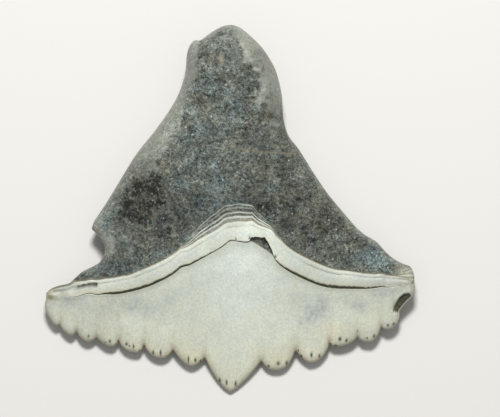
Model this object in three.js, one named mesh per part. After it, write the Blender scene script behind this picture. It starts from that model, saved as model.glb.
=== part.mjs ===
// A fossil fish tooth in one piece: a wide pale crown with a cusped lower margin, a raised
// ledge along its top, and a long dark tongue of root. It lies on its back with the face up.
// Millimetres, +Z up. Positions on the face are [x, v]: x across the crown, v from the cusps
// (negative) towards the end of the root (positive). Height over the face plane is w.
import * as THREE from 'three';

// Driving dimensions.
const crownHalfWidth = 10;
const restTilt = THREE.MathUtils.degToRad(12);
const restHeight = 2.52;
const marginThickness = 0.52;
const rootThickness = 3.45;
const rootMiddle = 0.45;
const endTaper = 0.35;          // share of the thickness lost at the root's end
const edgeRoundness = 2.4;      // power of the rounded edge: 2 is a circle
const detailFade = 0.35;        // distance from the edge over which small forms rise

// Small forms of the face and the back.
const creaseDepth = 0.14;
const creaseReach = 0.8;
const grooveDepth = 0.14;
const lipWidth = 0.05;
const bandBulge = 0.02;
const edgeDrop = 0.015;
const ridgeCount = 4;
const ridgeLip = 0.03;
const backLedgeHeight = 0.12;
const backHollow = 0.1;

// How finely the margin is cut: sections on each flank of a cusp.
const columnsPerFlank = 3;
const columnsPerMainFlank = 5;

// Where the two wings end.
const leftEnd = [-9.97, -4.68];
const rightEnd = [10.06, -4.12];

// Rails that cross the tooth, as [station, x, v]. The station is shared by all rails: it is
// the x of the ledge that a cross-section goes through.
const leftSide = [
  [-9.9, -10.0, -4.95], [-9.8, -10.04, -5.32], [-9.7, -9.93, -5.75], [-9.6, -9.7, -6.15],
];
const rightSide = [
  [8.85, 8.93, -6.5], [9.0, 9.17, -6.2], [9.1, 9.25, -5.9], [9.22, 9.24, -5.66],
  [9.4, 9.42, -5.38], [9.6, 9.68, -5.08], [9.8, 9.93, -4.83], [9.92, 10.06, -4.55],
];
const ledgeRail = [
  [-10, -10, -4.68], [-9.3, -9.3, -4.82], [-8.3, -8.3, -4.78], [-7.5, -7.5, -4.63],
  [-6.5, -6.5, -4.66], [-5.0, -5.0, -4.4], [-4.3, -4.3, -4.16], [-3.5, -3.5, -3.8],
  [-2.6, -2.6, -3.22], [-2.1, -2.1, -3.04], [-1.0, -1.0, -2.47], [-0.4, -0.4, -2.1],
  [0.15, 0.15, -1.77], [0.9, 0.9, -1.86], [1.3, 1.3, -1.9], [1.75, 1.75, -2.13],
  [2.25, 2.25, -2.65], [3.25, 3.25, -3.52], [4.3, 4.3, -3.97], [5.6, 5.6, -4.33],
  [7.5, 7.5, -4.34], [9.1, 9.1, -4.22], [10, 10, -4.1],
];
const rootRail = [
  [-10, -9.97, -4.62], [-9.7, -9.72, -4.4], [-9.3, -9.32, -4.24], [-8.7, -8.7, -4.08],
  [-8.35, -8.4, -3.8], [-7.95, -8.0, -3.46], [-7.4, -7.4, -3.16], [-7.05, -7.08, -2.95],
  [-6.6, -6.83, -2.5], [-6.3, -6.8, -2.14], [-5.95, -7.0, -1.72], [-5.6, -7.3, -1.35],
  [-5.44, -7.48, -1.2], [-5.4, -7.52, -1.14], [-5.34, -7.48, -0.98], [-5.2, -7.35, -0.68],
  [-4.85, -6.75, 0.22], [-4.15, -5.84, 1.72], [-3.6, -5.08, 2.94], [-2.95, -4.0, 4.32],
  [-2.2, -2.95, 5.9], [-1.7, -2.46, 7.2], [-1.2, -2.33, 8.4], [-1.0, -2.18, 8.85],
  [-0.85, -1.93, 9.14], [-0.7, -1.6, 9.16], [-0.5, -1.08, 9.53], [-0.25, -0.55, 9.85],
  [0.0, -0.03, 10.0], [0.25, 0.45, 9.9], [0.5, 0.92, 9.58], [1.0, 1.76, 8.76],
  [1.5, 2.38, 7.8], [2.0, 2.66, 7.04], [2.5, 2.84, 6.2], [3.0, 2.89, 5.5],
  [3.5, 2.96, 4.75], [3.9, 3.2, 3.98], [4.4, 3.8, 3.16], [5.1, 4.6, 1.88],
  [5.7, 5.3, 0.85], [6.4, 6.1, -0.13], [7.1, 6.85, -1.0], [7.6, 7.35, -1.45],
  [8.05, 7.98, -1.83], [8.5, 8.45, -2.33], [8.95, 8.9, -2.74], [9.35, 9.45, -3.04],
  [9.65, 9.84, -3.2], [9.85, 10.03, -3.6], [10, 10.06, -4.0],
];

// Width of the pale band above the groove, as [station, width].
const bandWidths = [
  [-10, 0.2], [-9.3, 0.5], [-8.4, 0.8], [-7.8, 0.7], [-6.4, 0.82], [-4.9, 0.98],
  [-2.5, 0.98], [-1.6, 1.1], [0.3, 1.08], [1.5, 1.06], [2.8, 1.3], [3.6, 1.17],
  [5.0, 1.08], [6.6, 0.89], [8.0, 0.7], [9.4, 0.46], [10, 0.2],
];

// How high the band's lower and upper edges stand over the crown, as [station, height].
const lowerEdgeHeights = [
  [-10, 0.02], [-8.8, 0.03], [-6.5, 0.1], [-4.5, 0.13], [-1, 0.08], [0.3, 0.07],
  [3.6, 0.13], [5.5, 0.15], [7, 0.12], [8.2, 0.05], [10, 0.02],
];
const upperEdgeHeights = [
  [-10, 0.02], [-8.6, 0.06], [-7, 0.11], [-2.6, 0.17], [0.3, 0.24], [3.5, 0.17],
  [7, 0.12], [8.5, 0.06], [10, 0.02],
];

// Each cusp has its tip and the notch on its right. A flank's form is how round and how full
// it is, before the tip and after it.
const firstNotch = [-9.52, -6.34];
const cusps = [
  { tip: [-9.4, -6.4], notch: [-9.24, -6.32], before: [2.0, 0.8], after: [2.0, 0.9] },
  { tip: [-8.61, -6.94], notch: [-8.34, -6.7], before: [1.7, 0.85], after: [2.4, 0.9] },
  { tip: [-7.7, -7.28], notch: [-7.25, -7.05], before: [2.0, 0.95], after: [2.0, 0.9] },
  { tip: [-6.5, -7.53], notch: [-6.04, -7.16], before: [1.6, 1.05], after: [3.2, 0.8] },
  { tip: [-5.05, -7.87], notch: [-4.67, -7.43], before: [2.1, 0.65], after: [2.5, 0.75] },
  { tip: [-3.7, -8.17], notch: [-3.08, -7.72], before: [2.2, 0.85], after: [2.0, 0.9] },
  { tip: [-2.04, -8.6], notch: [-1.35, -8.14], before: [1.8, 1.05], after: [1.6, 0.95] },
  { tip: [0.05, -9.99], notch: [1.72, -8.32], before: [1.55, 1.0], after: [1.3, 1.0] },
  { tip: [2.52, -8.82], notch: [3.59, -7.76], before: [2.6, 1.0], after: [2.6, 1.0] },
  { tip: [4.35, -8.42], notch: [5.44, -7.3], before: [1.5, 1.0], after: [2.2, 0.75] },
  { tip: [5.9, -7.53], notch: [6.98, -6.98], before: [4.0, 0.55], after: [1.9, 0.78] },
  { tip: [7.55, -7.29], notch: [8.25, -6.42], before: [2.4, 0.6], after: [2.2, 0.8] },
];
const middleCusp = cusps[7];
const lastTip = [8.62, -6.63];
const lastFlank = [2.4, 0.6];

// Lumps and hollows of the root's face, as [x, v, radius, rise].
const rootRelief = [
  [-4.3, 0.6, 1.5, -0.12], [-5.9, -0.4, 0.9, 0.07], [-1.6, 7.0, 1.1, 0.1], [0.6, 8.2, 1.3, 0.07],
  [1.9, 6.3, 0.9, 0.08], [0.2, 4.6, 1.3, -0.08], [-3.2, 3.2, 1.2, 0.06], [2.6, 2.0, 1.4, 0.08],
  [4.6, -1.6, 1.2, 0.06], [-1.2, 1.6, 1.0, -0.06], [7.2, -2.6, 0.8, -0.05], [-1.66, 9.1, 0.3, -0.22],
];

// Corners of the hollow where the shell of the right wing broke away.
const wingChip = [
  [8.87, -5.65], [8.9, -5.42], [9.09, -5.06], [9.24, -4.86], [9.47, -4.68], [9.73, -4.61],
  [9.95, -4.79], [9.66, -5.06], [9.4, -5.36], [9.2, -5.68],
];
const wingChipDepth = 0.2;

// Where a flake of the ledge's edge is missing, along x, and how far it reaches back.
const missingFlake = { start: 1.05, deepest: 1.95, end: 2.35, depth: 0.55 };

// Distances from an edge at which the sections have a point.
const marginInsets = [0.06, 0.18, 0.42, 0.8, 1.4];
const rimInsets = [1.1, 0.6, 0.27, 0.08];

// Shares of the root's length at which its face and its back have a point.
const faceParts = [0, 0.12, 0.26, 0.42, 0.58, 0.74, 0.88];
const backParts = [0.82, 0.66, 0.5, 0.34, 0.18, 0.02];

function clamp01(value) {
  return THREE.MathUtils.clamp(value, 0, 1);
}

// Piecewise straight value at a station, for a list of [station, value].
function valueAt(list, station) {
  const last = list.findIndex(([s]) => s >= station);
  if (last <= 0) return list[last === 0 ? 0 : list.length - 1][1];
  const [s0, a] = list[last - 1];
  const [s1, b] = list[last];
  return a + (b - a) * (station - s0) / (s1 - s0);
}

// Smooth curve through the points of a rail: a cubic between each two of them, with the
// slope at a point taken from its neighbours.
function railAt(rail, station) {
  let i = rail.findIndex(([s]) => s > station) - 1;
  if (i < 0) i = rail.length - 2;
  const p0 = rail[Math.max(i - 1, 0)];
  const p1 = rail[i];
  const p2 = rail[i + 1];
  const p3 = rail[Math.min(i + 2, rail.length - 1)];
  const span = p2[0] - p1[0];
  const t = (station - p1[0]) / span;
  return [1, 2].map((axis) => {
    const startSlope = (p2[axis] - p0[axis]) / (p2[0] - p0[0]) * span;
    const endSlope = (p3[axis] - p1[axis]) / (p3[0] - p1[0]) * span;
    const rise = p2[axis] - p1[axis];
    return p1[axis] + t * startSlope
      + t * t * (3 * rise - 2 * startSlope - endSlope)
      + t * t * t * (startSlope + endSlope - 2 * rise);
  });
}

// Points down one flank of a cusp, from a notch to the tip or from the tip to a notch.
// The flank falls short of the tip by 1 - (1 - f^roundness)^fullness, f from tip to notch.
function flank(tip, notch, [roundness, fullness], count, towardsTip) {
  const points = [];
  for (let k = 0; k < count; k += 1) {
    const f = towardsTip ? 1 - k / count : k / count;
    const depth = (1 - f ** roundness) ** fullness;
    const x = tip[0] + (notch[0] - tip[0]) * f;
    const v = notch[1] + (tip[1] - notch[1]) * depth;
    points.push({ station: x, margin: [x, v], crease: f ** 3 });
  }
  return points;
}

// The sections across the tooth, each with its station and its point on the margin.
function marginColumns() {
  const side = ([station, x, v]) => ({ station, margin: [x, v], crease: 0 });
  const columns = leftSide.map(side);
  let notch = firstNotch;
  for (const cusp of cusps) {
    const count = cusp === middleCusp ? columnsPerMainFlank : columnsPerFlank;
    columns.push(...flank(cusp.tip, notch, cusp.before, count, true));
    columns.push(...flank(cusp.tip, cusp.notch, cusp.after, count, false));
    notch = cusp.notch;
  }
  columns.push(...flank(lastTip, notch, lastFlank, columnsPerFlank, true));
  columns.push({ station: lastTip[0], margin: lastTip, crease: 0 });
  columns.push(...rightSide.map(side));
  return columns;
}

// Shortest distance from a point to the closed outline.
function distanceToOutline(outline, x, v) {
  let nearest = Infinity;
  for (let i = 0; i < outline.length; i += 1) {
    const [ax, av] = outline[i];
    const [bx, bv] = outline[(i + 1) % outline.length];
    const along = (x - ax) * (bx - ax) + (v - av) * (bv - av);
    const t = clamp01(along / ((bx - ax) ** 2 + (bv - av) ** 2));
    nearest = Math.min(nearest, Math.hypot(x - ax - t * (bx - ax), v - av - t * (bv - av)));
  }
  return nearest;
}

// True inside a polygon, by counting the sides that a ray crosses.
function insidePolygon(polygon, x, v) {
  let inside = false;
  polygon.forEach(([ax, av], i) => {
    const [bx, bv] = polygon[(i + 1) % polygon.length];
    if ((av > v) !== (bv > v) && x < ax + (bx - ax) * (v - av) / (bv - av)) inside = !inside;
  });
  return inside;
}

// The face without its edges: level on the crown, drooping a little to the wings, and
// sinking along the root and to its sides.
function faceHeight(x, v) {
  const droop = (x < 0 ? 0.35 : 0.2) * (x / crownHalfWidth) ** 2;
  const aboveLedge = Math.max(0, v - railAt(ledgeRail, THREE.MathUtils.clamp(x, -9.99, 9.99))[1]);
  const sideFall = 0.006 * x * x * (1 - Math.exp(-aboveLedge / 1.5));
  return -droop - 0.08 * aboveLedge - sideFall;
}

// Thin at the margin and the wings, thick down the middle of the root, and thinner again
// towards the root's end.
function thicknessAt(x, v) {
  const growth = clamp01((v + 10) / 14) ** 1.6;
  const taper = 1 - endTaper * clamp01((v - 4) / 6) ** 2;
  return marginThickness + (rootThickness - marginThickness) * growth * taper
    * Math.exp(-(((x - rootMiddle) / 5.8) ** 2));
}

// Sum of the root's lumps and hollows, each a bell of its radius and rise.
function reliefAt(x, v) {
  return rootRelief.reduce((sum, [cx, cv, radius, rise]) => (
    sum + rise * Math.exp(-((x - cx) ** 2 + (v - cv) ** 2) / radius ** 2)), 0);
}

// How far the edge of the ledge is bitten back where a flake of it is missing: it grows
// evenly to the deepest place and falls faster beyond it.
function ledgeBite(x) {
  const { start, deepest, end, depth } = missingFlake;
  if (x < start || x > end) return 0;
  return x < deepest
    ? depth * (x - start) / (deepest - start) : depth * (end - x) / (end - deepest);
}

// Width of the stepped ridges behind the band: widest near the middle of the tooth.
function ridgeWidthAt(station) {
  return 0.1 + 0.85 * Math.max(0, 1 - Math.abs(station - 0.2) / 2.6);
}

// The lines that one section is hung from, and its lengths, widths and heights. Where the
// tooth is narrow, at the wings, the scales draw the small forms together.
function sectionMeasures({ station, margin, crease }) {
  const ledge = railAt(ledgeRail, station);
  const rim = railAt(rootRail, station);
  const bend = [ledge[0] + 0.05 * (rim[0] - ledge[0]), ledge[1] + 0.55 * (rim[1] - ledge[1])];
  const crownLength = Math.hypot(ledge[0] - margin[0], ledge[1] - margin[1]);
  const rootLength = Math.hypot(rim[0] - ledge[0], rim[1] - ledge[1]);
  const band = Math.min(valueAt(bandWidths, station), 0.8 * rootLength);
  const ridges = ridgeWidthAt(station);
  const crownScale = Math.min(1, crownLength / 2.2);
  const rootScale = Math.min(1, (rootLength - band) / (ridges + 1.5));
  const bite = ledgeBite(station);
  const bandStart = (lipWidth + 0.04 + bite) * rootScale;
  return {
    margin, crease, ledge, bend, rim, crownLength, rootLength, crownScale, rootScale,
    ridges, bite, bandStart,
    bandEnd: Math.max(band, bandStart + 0.15 * rootScale),
    lowerEdge: valueAt(lowerEdgeHeights, station),
    upperEdge: valueAt(upperEdgeHeights, station),
    lastInset: marginInsets[marginInsets.length - 1] * crownScale,
    grooveStart: crownLength - 0.12 * crownScale,
    faceEnd: rootLength - rimInsets[0] * rootScale,
  };
}

// The place at a distance from the margin, on a straight line to the ledge.
function crownPlace({ margin, ledge, crownLength }, distance) {
  const t = distance / crownLength;
  return [margin[0] + t * (ledge[0] - margin[0]), margin[1] + t * (ledge[1] - margin[1])];
}

// The place at a distance from the ledge, along a bent line to the rim of the root. The share
// of the height is 1.1 t - 0.1 t^2, which is solved for t.
function rootPlace({ ledge, bend, rim, rootLength }, distance) {
  const t = (1.1 - Math.sqrt(1.21 - 0.4 * distance / rootLength)) / 0.2;
  return [0, 1].map((axis) => (
    (1 - t) ** 2 * ledge[axis] + 2 * t * (1 - t) * bend[axis] + t * t * rim[axis]));
}

// How far the face is let down by a notch's crease, which dies away from the margin.
function creaseRise({ crease }, distance) {
  return -creaseDepth * crease * Math.exp(-distance / creaseReach);
}

// A point of a section. Its rise is upwards on the face and on the back alike.
function onFace(place, rise = 0) {
  return { place, side: 1, rise };
}

function onEdge(place) {
  return { place, side: 0, rise: 0 };
}

function onBack(place, rise = 0) {
  return { place, side: -1, rise };
}

// Face of the crown, from the cusps to the groove, with the hollow of the right wing.
function crownFace(measures) {
  const { crownScale, lastInset, grooveStart } = measures;
  const insets = marginInsets.map((inset) => inset * crownScale);
  for (const part of [0.3, 0.65, 1]) insets.push(lastInset + part * (grooveStart - lastInset));
  return insets.map((inset) => {
    const place = crownPlace(measures, inset);
    const chip = insidePolygon(wingChip, ...place) ? -wingChipDepth : 0;
    return onFace(place, creaseRise(measures, inset) + chip);
  });
}

// Groove under the ledge, the ledge's overhanging lip, and the band above it.
function ledgeAndBand(measures) {
  const { crownLength, crownScale, rootScale, bite, bandStart, bandEnd } = measures;
  const { lowerEdge, upperEdge } = measures;
  const lip = bite > 0 ? bite : lipWidth;
  return [
    onFace(crownPlace(measures, crownLength - 0.03 * crownScale), -grooveDepth),
    onFace(rootPlace(measures, 0.04 * rootScale), -0.6 * grooveDepth),
    onFace(rootPlace(measures, lip * rootScale), 0.6 * lowerEdge),
    onFace(rootPlace(measures, bandStart), lowerEdge),
    onFace(rootPlace(measures, 0.5 * (bandStart + bandEnd)),
      0.5 * (lowerEdge + upperEdge) + bandBulge),
    onFace(rootPlace(measures, bandEnd), upperEdge - edgeDrop),
  ];
}

// Ridges that step down from the band to the root: each is a fall and a slightly raised lip.
function ridgeSteps(measures) {
  const { ridges, rootScale, bandEnd, upperEdge } = measures;
  const stepWidth = ridges * rootScale / ridgeCount;
  const points = [];
  for (let k = 1; k <= ridgeCount; k += 1) {
    const level = (upperEdge - edgeDrop) * (1 - k / ridgeCount);
    points.push(onFace(rootPlace(measures, bandEnd + (k - 0.7) * stepWidth), level));
    points.push(onFace(rootPlace(measures, bandEnd + (k - 0.15) * stepWidth), level + ridgeLip));
  }
  return points;
}

// Face of the root with its lumps and hollows, up to the rounded rim.
function rootFace(measures) {
  const { bandEnd, ridges, rootScale, rootLength, faceEnd } = measures;
  const faceStart = bandEnd + (ridges + 0.08) * rootScale;
  const points = faceParts.map((part) => {
    const place = rootPlace(measures, faceStart + part * (faceEnd - faceStart));
    return onFace(place, reliefAt(...place) * Math.min(1, 0.2 + 2 * part));
  });
  for (const inset of rimInsets) {
    const place = rootPlace(measures, rootLength - inset * rootScale);
    points.push(onFace(place, reliefAt(...place)));
  }
  return points;
}

function rootBack(measures) {
  const { rootLength, rootScale, faceEnd } = measures;
  const nearRim = [...rimInsets].reverse().map((inset) => rootLength - inset * rootScale);
  const under = backParts.map((part) => part * faceEnd);
  return [...nearRim, ...under].map((distance) => onBack(rootPlace(measures, distance)));
}

// Back of the crown, with a low ledge of its own and the same creases.
function crownBack(measures) {
  const { crownScale, lastInset, grooveStart } = measures;
  const backLedge = lastInset + 0.72 * (grooveStart - lastInset);
  const points = [
    onBack(crownPlace(measures, backLedge + 0.12 * crownScale), -0.04),
    onBack(crownPlace(measures, backLedge), backLedgeHeight),
  ];
  for (const part of [0.62, 0.3]) {
    const distance = lastInset + part * (backLedge - lastInset);
    points.push(onBack(crownPlace(measures, distance), backHollow));
  }
  for (const inset of marginInsets.slice(0, 4).reverse()) {
    const rise = -creaseRise(measures, inset) + backHollow * clamp01(inset / 1.4);
    points.push(onBack(crownPlace(measures, inset * crownScale), rise));
  }
  return points;
}

// Sets a point half the thickness over or under a middle sheet, which the face and the back
// are drawn in to along a rounded edge.
function solidPoint(outline, { place: [x, v], side, rise }) {
  const edgeDistance = side === 0 ? 0 : distanceToOutline(outline, x, v);
  const thickness = thicknessAt(x, v);
  const edgeRadius = THREE.MathUtils.clamp(0.42 * thickness, 0.2, 1);
  const inward = clamp01(edgeDistance / edgeRadius);
  const swell = (1 - (1 - inward) ** edgeRoundness) ** (1 / edgeRoundness);
  const middle = faceHeight(x, v) - thickness / 2;
  const detail = rise * Math.min(1, edgeDistance / detailFade);
  return [x, v, middle + side * swell * thickness / 2 + detail];
}

// One closed section: over the face from the margin to the rim of the root, and back
// underneath to the margin.
function section(column, outline) {
  const measures = sectionMeasures(column);
  const points = [
    onEdge(measures.margin),
    ...crownFace(measures),
    ...ledgeAndBand(measures),
    ...ridgeSteps(measures),
    ...rootFace(measures),
    onEdge(measures.rim),
    ...rootBack(measures),
    ...crownBack(measures),
  ];
  return points.map((point) => solidPoint(outline, point));
}

// Turns a place on the face into its place as the tooth lies. What would sink below the
// table is flat, where the back of the root and the tip of the middle cusp touch it.
function laidDown([x, v, w]) {
  const y = v * Math.cos(restTilt) - w * Math.sin(restTilt);
  const z = restHeight + v * Math.sin(restTilt) + w * Math.cos(restTilt);
  return [x, y, Math.max(z, 0)];
}

// The closed skin through all sections, drawn to a point at each wing's end.
function toothGeometry() {
  const columns = marginColumns();
  const outline = [
    leftEnd, ...columns.map(({ margin }) => margin), rightEnd,
    ...columns.map(({ station }) => railAt(rootRail, station)).reverse(),
  ];
  const sections = columns.map((column) => section(column, outline));
  const perSection = sections[0].length;
  const endPoint = ([x, v]) => [x, v, faceHeight(x, v) - thicknessAt(x, v) / 2];
  const places = [...sections.flat(), endPoint(leftEnd), endPoint(rightEnd)].map(laidDown);
  const leftIndex = places.length - 2;
  const rightIndex = places.length - 1;
  const lastStart = (sections.length - 1) * perSection;
  const indices = [];
  for (let j = 0; j < perSection; j += 1) {
    const next = (j + 1) % perSection;
    indices.push(leftIndex, j, next);
    indices.push(rightIndex, lastStart + next, lastStart + j);
    for (let i = 0; i < sections.length - 1; i += 1) {
      const here = i * perSection;
      const across = here + perSection;
      indices.push(here + j, across + j, across + next);
      indices.push(here + j, across + next, here + next);
    }
  }
  const geometry = new THREE.BufferGeometry();
  geometry.setAttribute('position', new THREE.Float32BufferAttribute(places.flat(), 3));
  geometry.setIndex(indices);
  geometry.computeBoundingBox();
  const middle = geometry.boundingBox.getCenter(new THREE.Vector3());
  geometry.translate(-middle.x, -middle.y, -geometry.boundingBox.min.z);
  geometry.computeVertexNormals();
  return geometry;
}

function toothMaterial() {
  return new THREE.MeshStandardMaterial({ color: '#a9aca0', roughness: 0.6, metalness: 0 });
}

const tooth = new THREE.Mesh(toothGeometry(), toothMaterial());
tooth.name = 'tooth';

const group = new THREE.Group();
group.name = 'fossil-fish-tooth';
group.add(tooth);

export default group;
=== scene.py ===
import math
import bpy
import numpy as np
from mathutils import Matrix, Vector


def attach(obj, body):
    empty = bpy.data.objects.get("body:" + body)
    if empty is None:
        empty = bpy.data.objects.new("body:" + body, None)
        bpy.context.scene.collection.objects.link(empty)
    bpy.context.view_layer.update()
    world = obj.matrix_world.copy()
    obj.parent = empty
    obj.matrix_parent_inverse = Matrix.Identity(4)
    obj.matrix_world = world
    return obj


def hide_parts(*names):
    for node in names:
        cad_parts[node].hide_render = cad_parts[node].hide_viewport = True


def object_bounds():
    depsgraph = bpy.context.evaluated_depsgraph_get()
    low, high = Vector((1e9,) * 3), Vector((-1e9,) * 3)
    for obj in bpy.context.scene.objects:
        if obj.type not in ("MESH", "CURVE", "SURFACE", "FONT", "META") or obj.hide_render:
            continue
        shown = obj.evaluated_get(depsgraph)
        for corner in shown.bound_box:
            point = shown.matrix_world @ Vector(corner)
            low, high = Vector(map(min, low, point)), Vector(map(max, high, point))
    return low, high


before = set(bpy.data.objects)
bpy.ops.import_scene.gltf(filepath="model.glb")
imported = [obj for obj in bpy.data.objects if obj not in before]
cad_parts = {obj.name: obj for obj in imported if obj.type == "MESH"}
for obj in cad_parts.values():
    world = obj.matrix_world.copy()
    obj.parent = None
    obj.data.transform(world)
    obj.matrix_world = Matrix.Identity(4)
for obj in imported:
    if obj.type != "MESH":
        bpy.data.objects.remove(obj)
cadBox = [list(corner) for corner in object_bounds()]
millimetre = 0.001

# The tooth's own sizes, in mm. A place on its face is (x, v): x across the crown and v from
# the cusps (negative) towards the end of the root (positive). w is the height over the face.
toothForm = {
    "faceLean": 12.0,          # degrees that the face leans from level
    "restHeight": 2.52,        # from the table up to the middle of the face
    "halfWidth": 10.0,
    "leftDroop": 0.35,         # how far down the end of each wing is
    "rightDroop": 0.2,
    "rootSink": 0.08,          # how far the root goes down for each mm above the ledge
    "rootCurve": 0.006,        # and how far for the square of each mm from its middle
    "marginThickness": 0.52,
    "rootThickness": 3.45,
    "rootMiddle": 0.45,        # x of the thickest part of the root
    "rootSpread": 5.8,         # mm to the side where about a third of its swelling is left
    "endTaper": 0.35,          # share of the thickness that is lost at the root's end
    "edgePower": 2.2,          # 2 rounds an edge to a circle, more makes it squarer
    "creaseDepth": 0.36,       # shares of the half thickness, at a notch
    "notchDepth": 0.2,
    "backLedge": 0.1,          # height of the low ledge on the back
    "skinRise": 0.03,
    "skinEvening": 0.6,        # share of the root's roughness that its skin takes away
    "columns": 540,            # sections across the tooth
    "crownRows": 9,            # rows over the crown's face
    "rootRows": 76,            # rows up the root's face
    "rootBackRows": 11,        # rows on the back, over and under its ledge
    "crownBackRows": 6,
    "leftEnd": (-9.97, -4.68),
    "rightEnd": (10.06, -4.12),
}

# Rails across the tooth, as (station, x, v). All rails share the station, which is the x of
# the ledge that a section goes through, so the ledge is listed as (x, v).
toothRails = {
    "leftSide": [
        (-10.0, -9.97, -4.72), (-9.9, -10.0, -4.95), (-9.8, -10.04, -5.32),
        (-9.7, -9.93, -5.75), (-9.6, -9.7, -6.15), (-9.52, -9.52, -6.34),
    ],
    "rightSide": [
        (8.62, 8.62, -6.63), (8.85, 8.93, -6.5), (9.0, 9.17, -6.2), (9.1, 9.25, -5.9),
        (9.22, 9.24, -5.66), (9.4, 9.42, -5.38), (9.6, 9.68, -5.08), (9.8, 9.93, -4.83),
        (9.92, 10.06, -4.55), (10.0, 10.07, -4.2),
    ],
    "ledge": [(x, x, v) for x, v in (
        (-10, -4.68), (-9.3, -4.82), (-8.85, -4.78), (-8.45, -4.83), (-8.0, -4.72), (-7.6, -4.64),
        (-7.25, -4.7), (-6.7, -4.66), (-6.2, -4.64), (-5.6, -4.54), (-5.0, -4.4), (-4.3, -4.16),
        (-3.5, -3.8), (-2.95, -3.46), (-2.62, -3.2), (-2.2, -3.08), (-1.6, -2.77), (-1.0, -2.44),
        (-0.4, -2.1), (0.06, -1.78), (0.5, -1.82), (0.9, -1.87), (1.08, -1.84), (1.2, -1.79),
        (1.72, -2.1), (2.3, -2.5), (2.55, -2.88), (2.9, -3.19), (3.35, -3.47), (3.9, -3.74),
        (4.45, -3.98), (5.0, -4.18), (5.6, -4.3), (6.4, -4.34), (7.3, -4.36), (7.9, -4.33),
        (8.25, -4.28), (8.55, -4.31), (9.05, -4.26), (10, -4.12),
    )],
    "rim": [
        (-10, -9.97, -4.62), (-9.7, -9.72, -4.4), (-9.3, -9.32, -4.24), (-8.7, -8.7, -4.08),
        (-8.35, -8.4, -3.8), (-7.95, -8.0, -3.46), (-7.4, -7.4, -3.16), (-7.05, -7.08, -2.95),
        (-6.6, -6.83, -2.5), (-6.3, -6.8, -2.14), (-5.95, -7.0, -1.72), (-5.6, -7.3, -1.35),
        (-5.44, -7.48, -1.2), (-5.4, -7.52, -1.14), (-5.34, -7.48, -0.98),
        (-5.2, -7.35, -0.68), (-4.85, -6.75, 0.22), (-4.15, -5.84, 1.72), (-3.6, -5.08, 2.94),
        (-2.95, -4.0, 4.32), (-2.2, -2.95, 5.9), (-1.7, -2.46, 7.2),
        (-1.2, -2.33, 8.4), (-1.0, -2.18, 8.85), (-0.85, -1.93, 9.14), (-0.7, -1.6, 9.16),
        (-0.5, -1.08, 9.53), (-0.25, -0.55, 9.85), (0.0, -0.03, 10.0), (0.25, 0.45, 9.9),
        (0.5, 0.92, 9.58), (1.0, 1.76, 8.76), (1.5, 2.38, 7.8), (2.0, 2.66, 7.04),
        (2.5, 2.84, 6.2), (3.0, 2.89, 5.5), (3.5, 2.96, 4.75), (3.9, 3.2, 3.98),
        (4.4, 3.8, 3.16), (5.1, 4.6, 1.88), (5.7, 5.3, 0.85), (6.4, 6.1, -0.13),
        (7.1, 6.85, -1.0), (7.6, 7.35, -1.45), (8.05, 7.98, -1.83), (8.5, 8.45, -2.33),
        (8.95, 8.9, -2.74), (9.35, 9.45, -3.04), (9.65, 9.84, -3.2), (9.85, 10.03, -3.6),
        (10, 10.06, -4.0),
    ],
}

# Each cusp: its tip, the notch on its right, and how round and how full each flank is.
cuspForm = [
    {"tip": (-9.4, -6.4), "notch": (-9.24, -6.32), "before": (2.0, 0.8), "after": (2.0, 0.9)},
    {"tip": (-8.61, -6.94), "notch": (-8.34, -6.7), "before": (1.7, 0.85), "after": (2.4, 0.9)},
    {"tip": (-7.7, -7.28), "notch": (-7.25, -7.05), "before": (2.0, 0.95), "after": (2.0, 0.9)},
    {"tip": (-6.5, -7.53), "notch": (-6.04, -7.16), "before": (1.6, 1.05), "after": (3.2, 0.8)},
    {"tip": (-5.05, -7.87), "notch": (-4.67, -7.43), "before": (2.1, 0.65), "after": (2.5, 0.75)},
    {"tip": (-3.7, -8.17), "notch": (-3.08, -7.72), "before": (2.2, 0.85), "after": (2.0, 0.9)},
    {"tip": (-2.04, -8.6), "notch": (-1.35, -8.14), "before": (1.8, 1.05), "after": (1.6, 0.95)},
    {"tip": (0.05, -9.99), "notch": (1.72, -8.32), "before": (1.55, 1.0), "after": (1.3, 1.0)},
    {"tip": (2.52, -8.82), "notch": (3.59, -7.76), "before": (2.6, 1.0), "after": (2.6, 1.0)},
    {"tip": (4.35, -8.42), "notch": (5.44, -7.3), "before": (1.5, 1.0), "after": (2.2, 0.75)},
    {"tip": (5.9, -7.53), "notch": (6.98, -6.98), "before": (4.0, 0.55), "after": (1.9, 0.78)},
    {"tip": (7.55, -7.29), "notch": (8.25, -6.42), "before": (2.4, 0.6), "after": (2.2, 0.8)},
    {"tip": (8.62, -6.63), "notch": None, "before": (2.4, 0.6), "after": None},
]
firstNotch = (-9.52, -6.34)

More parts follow.
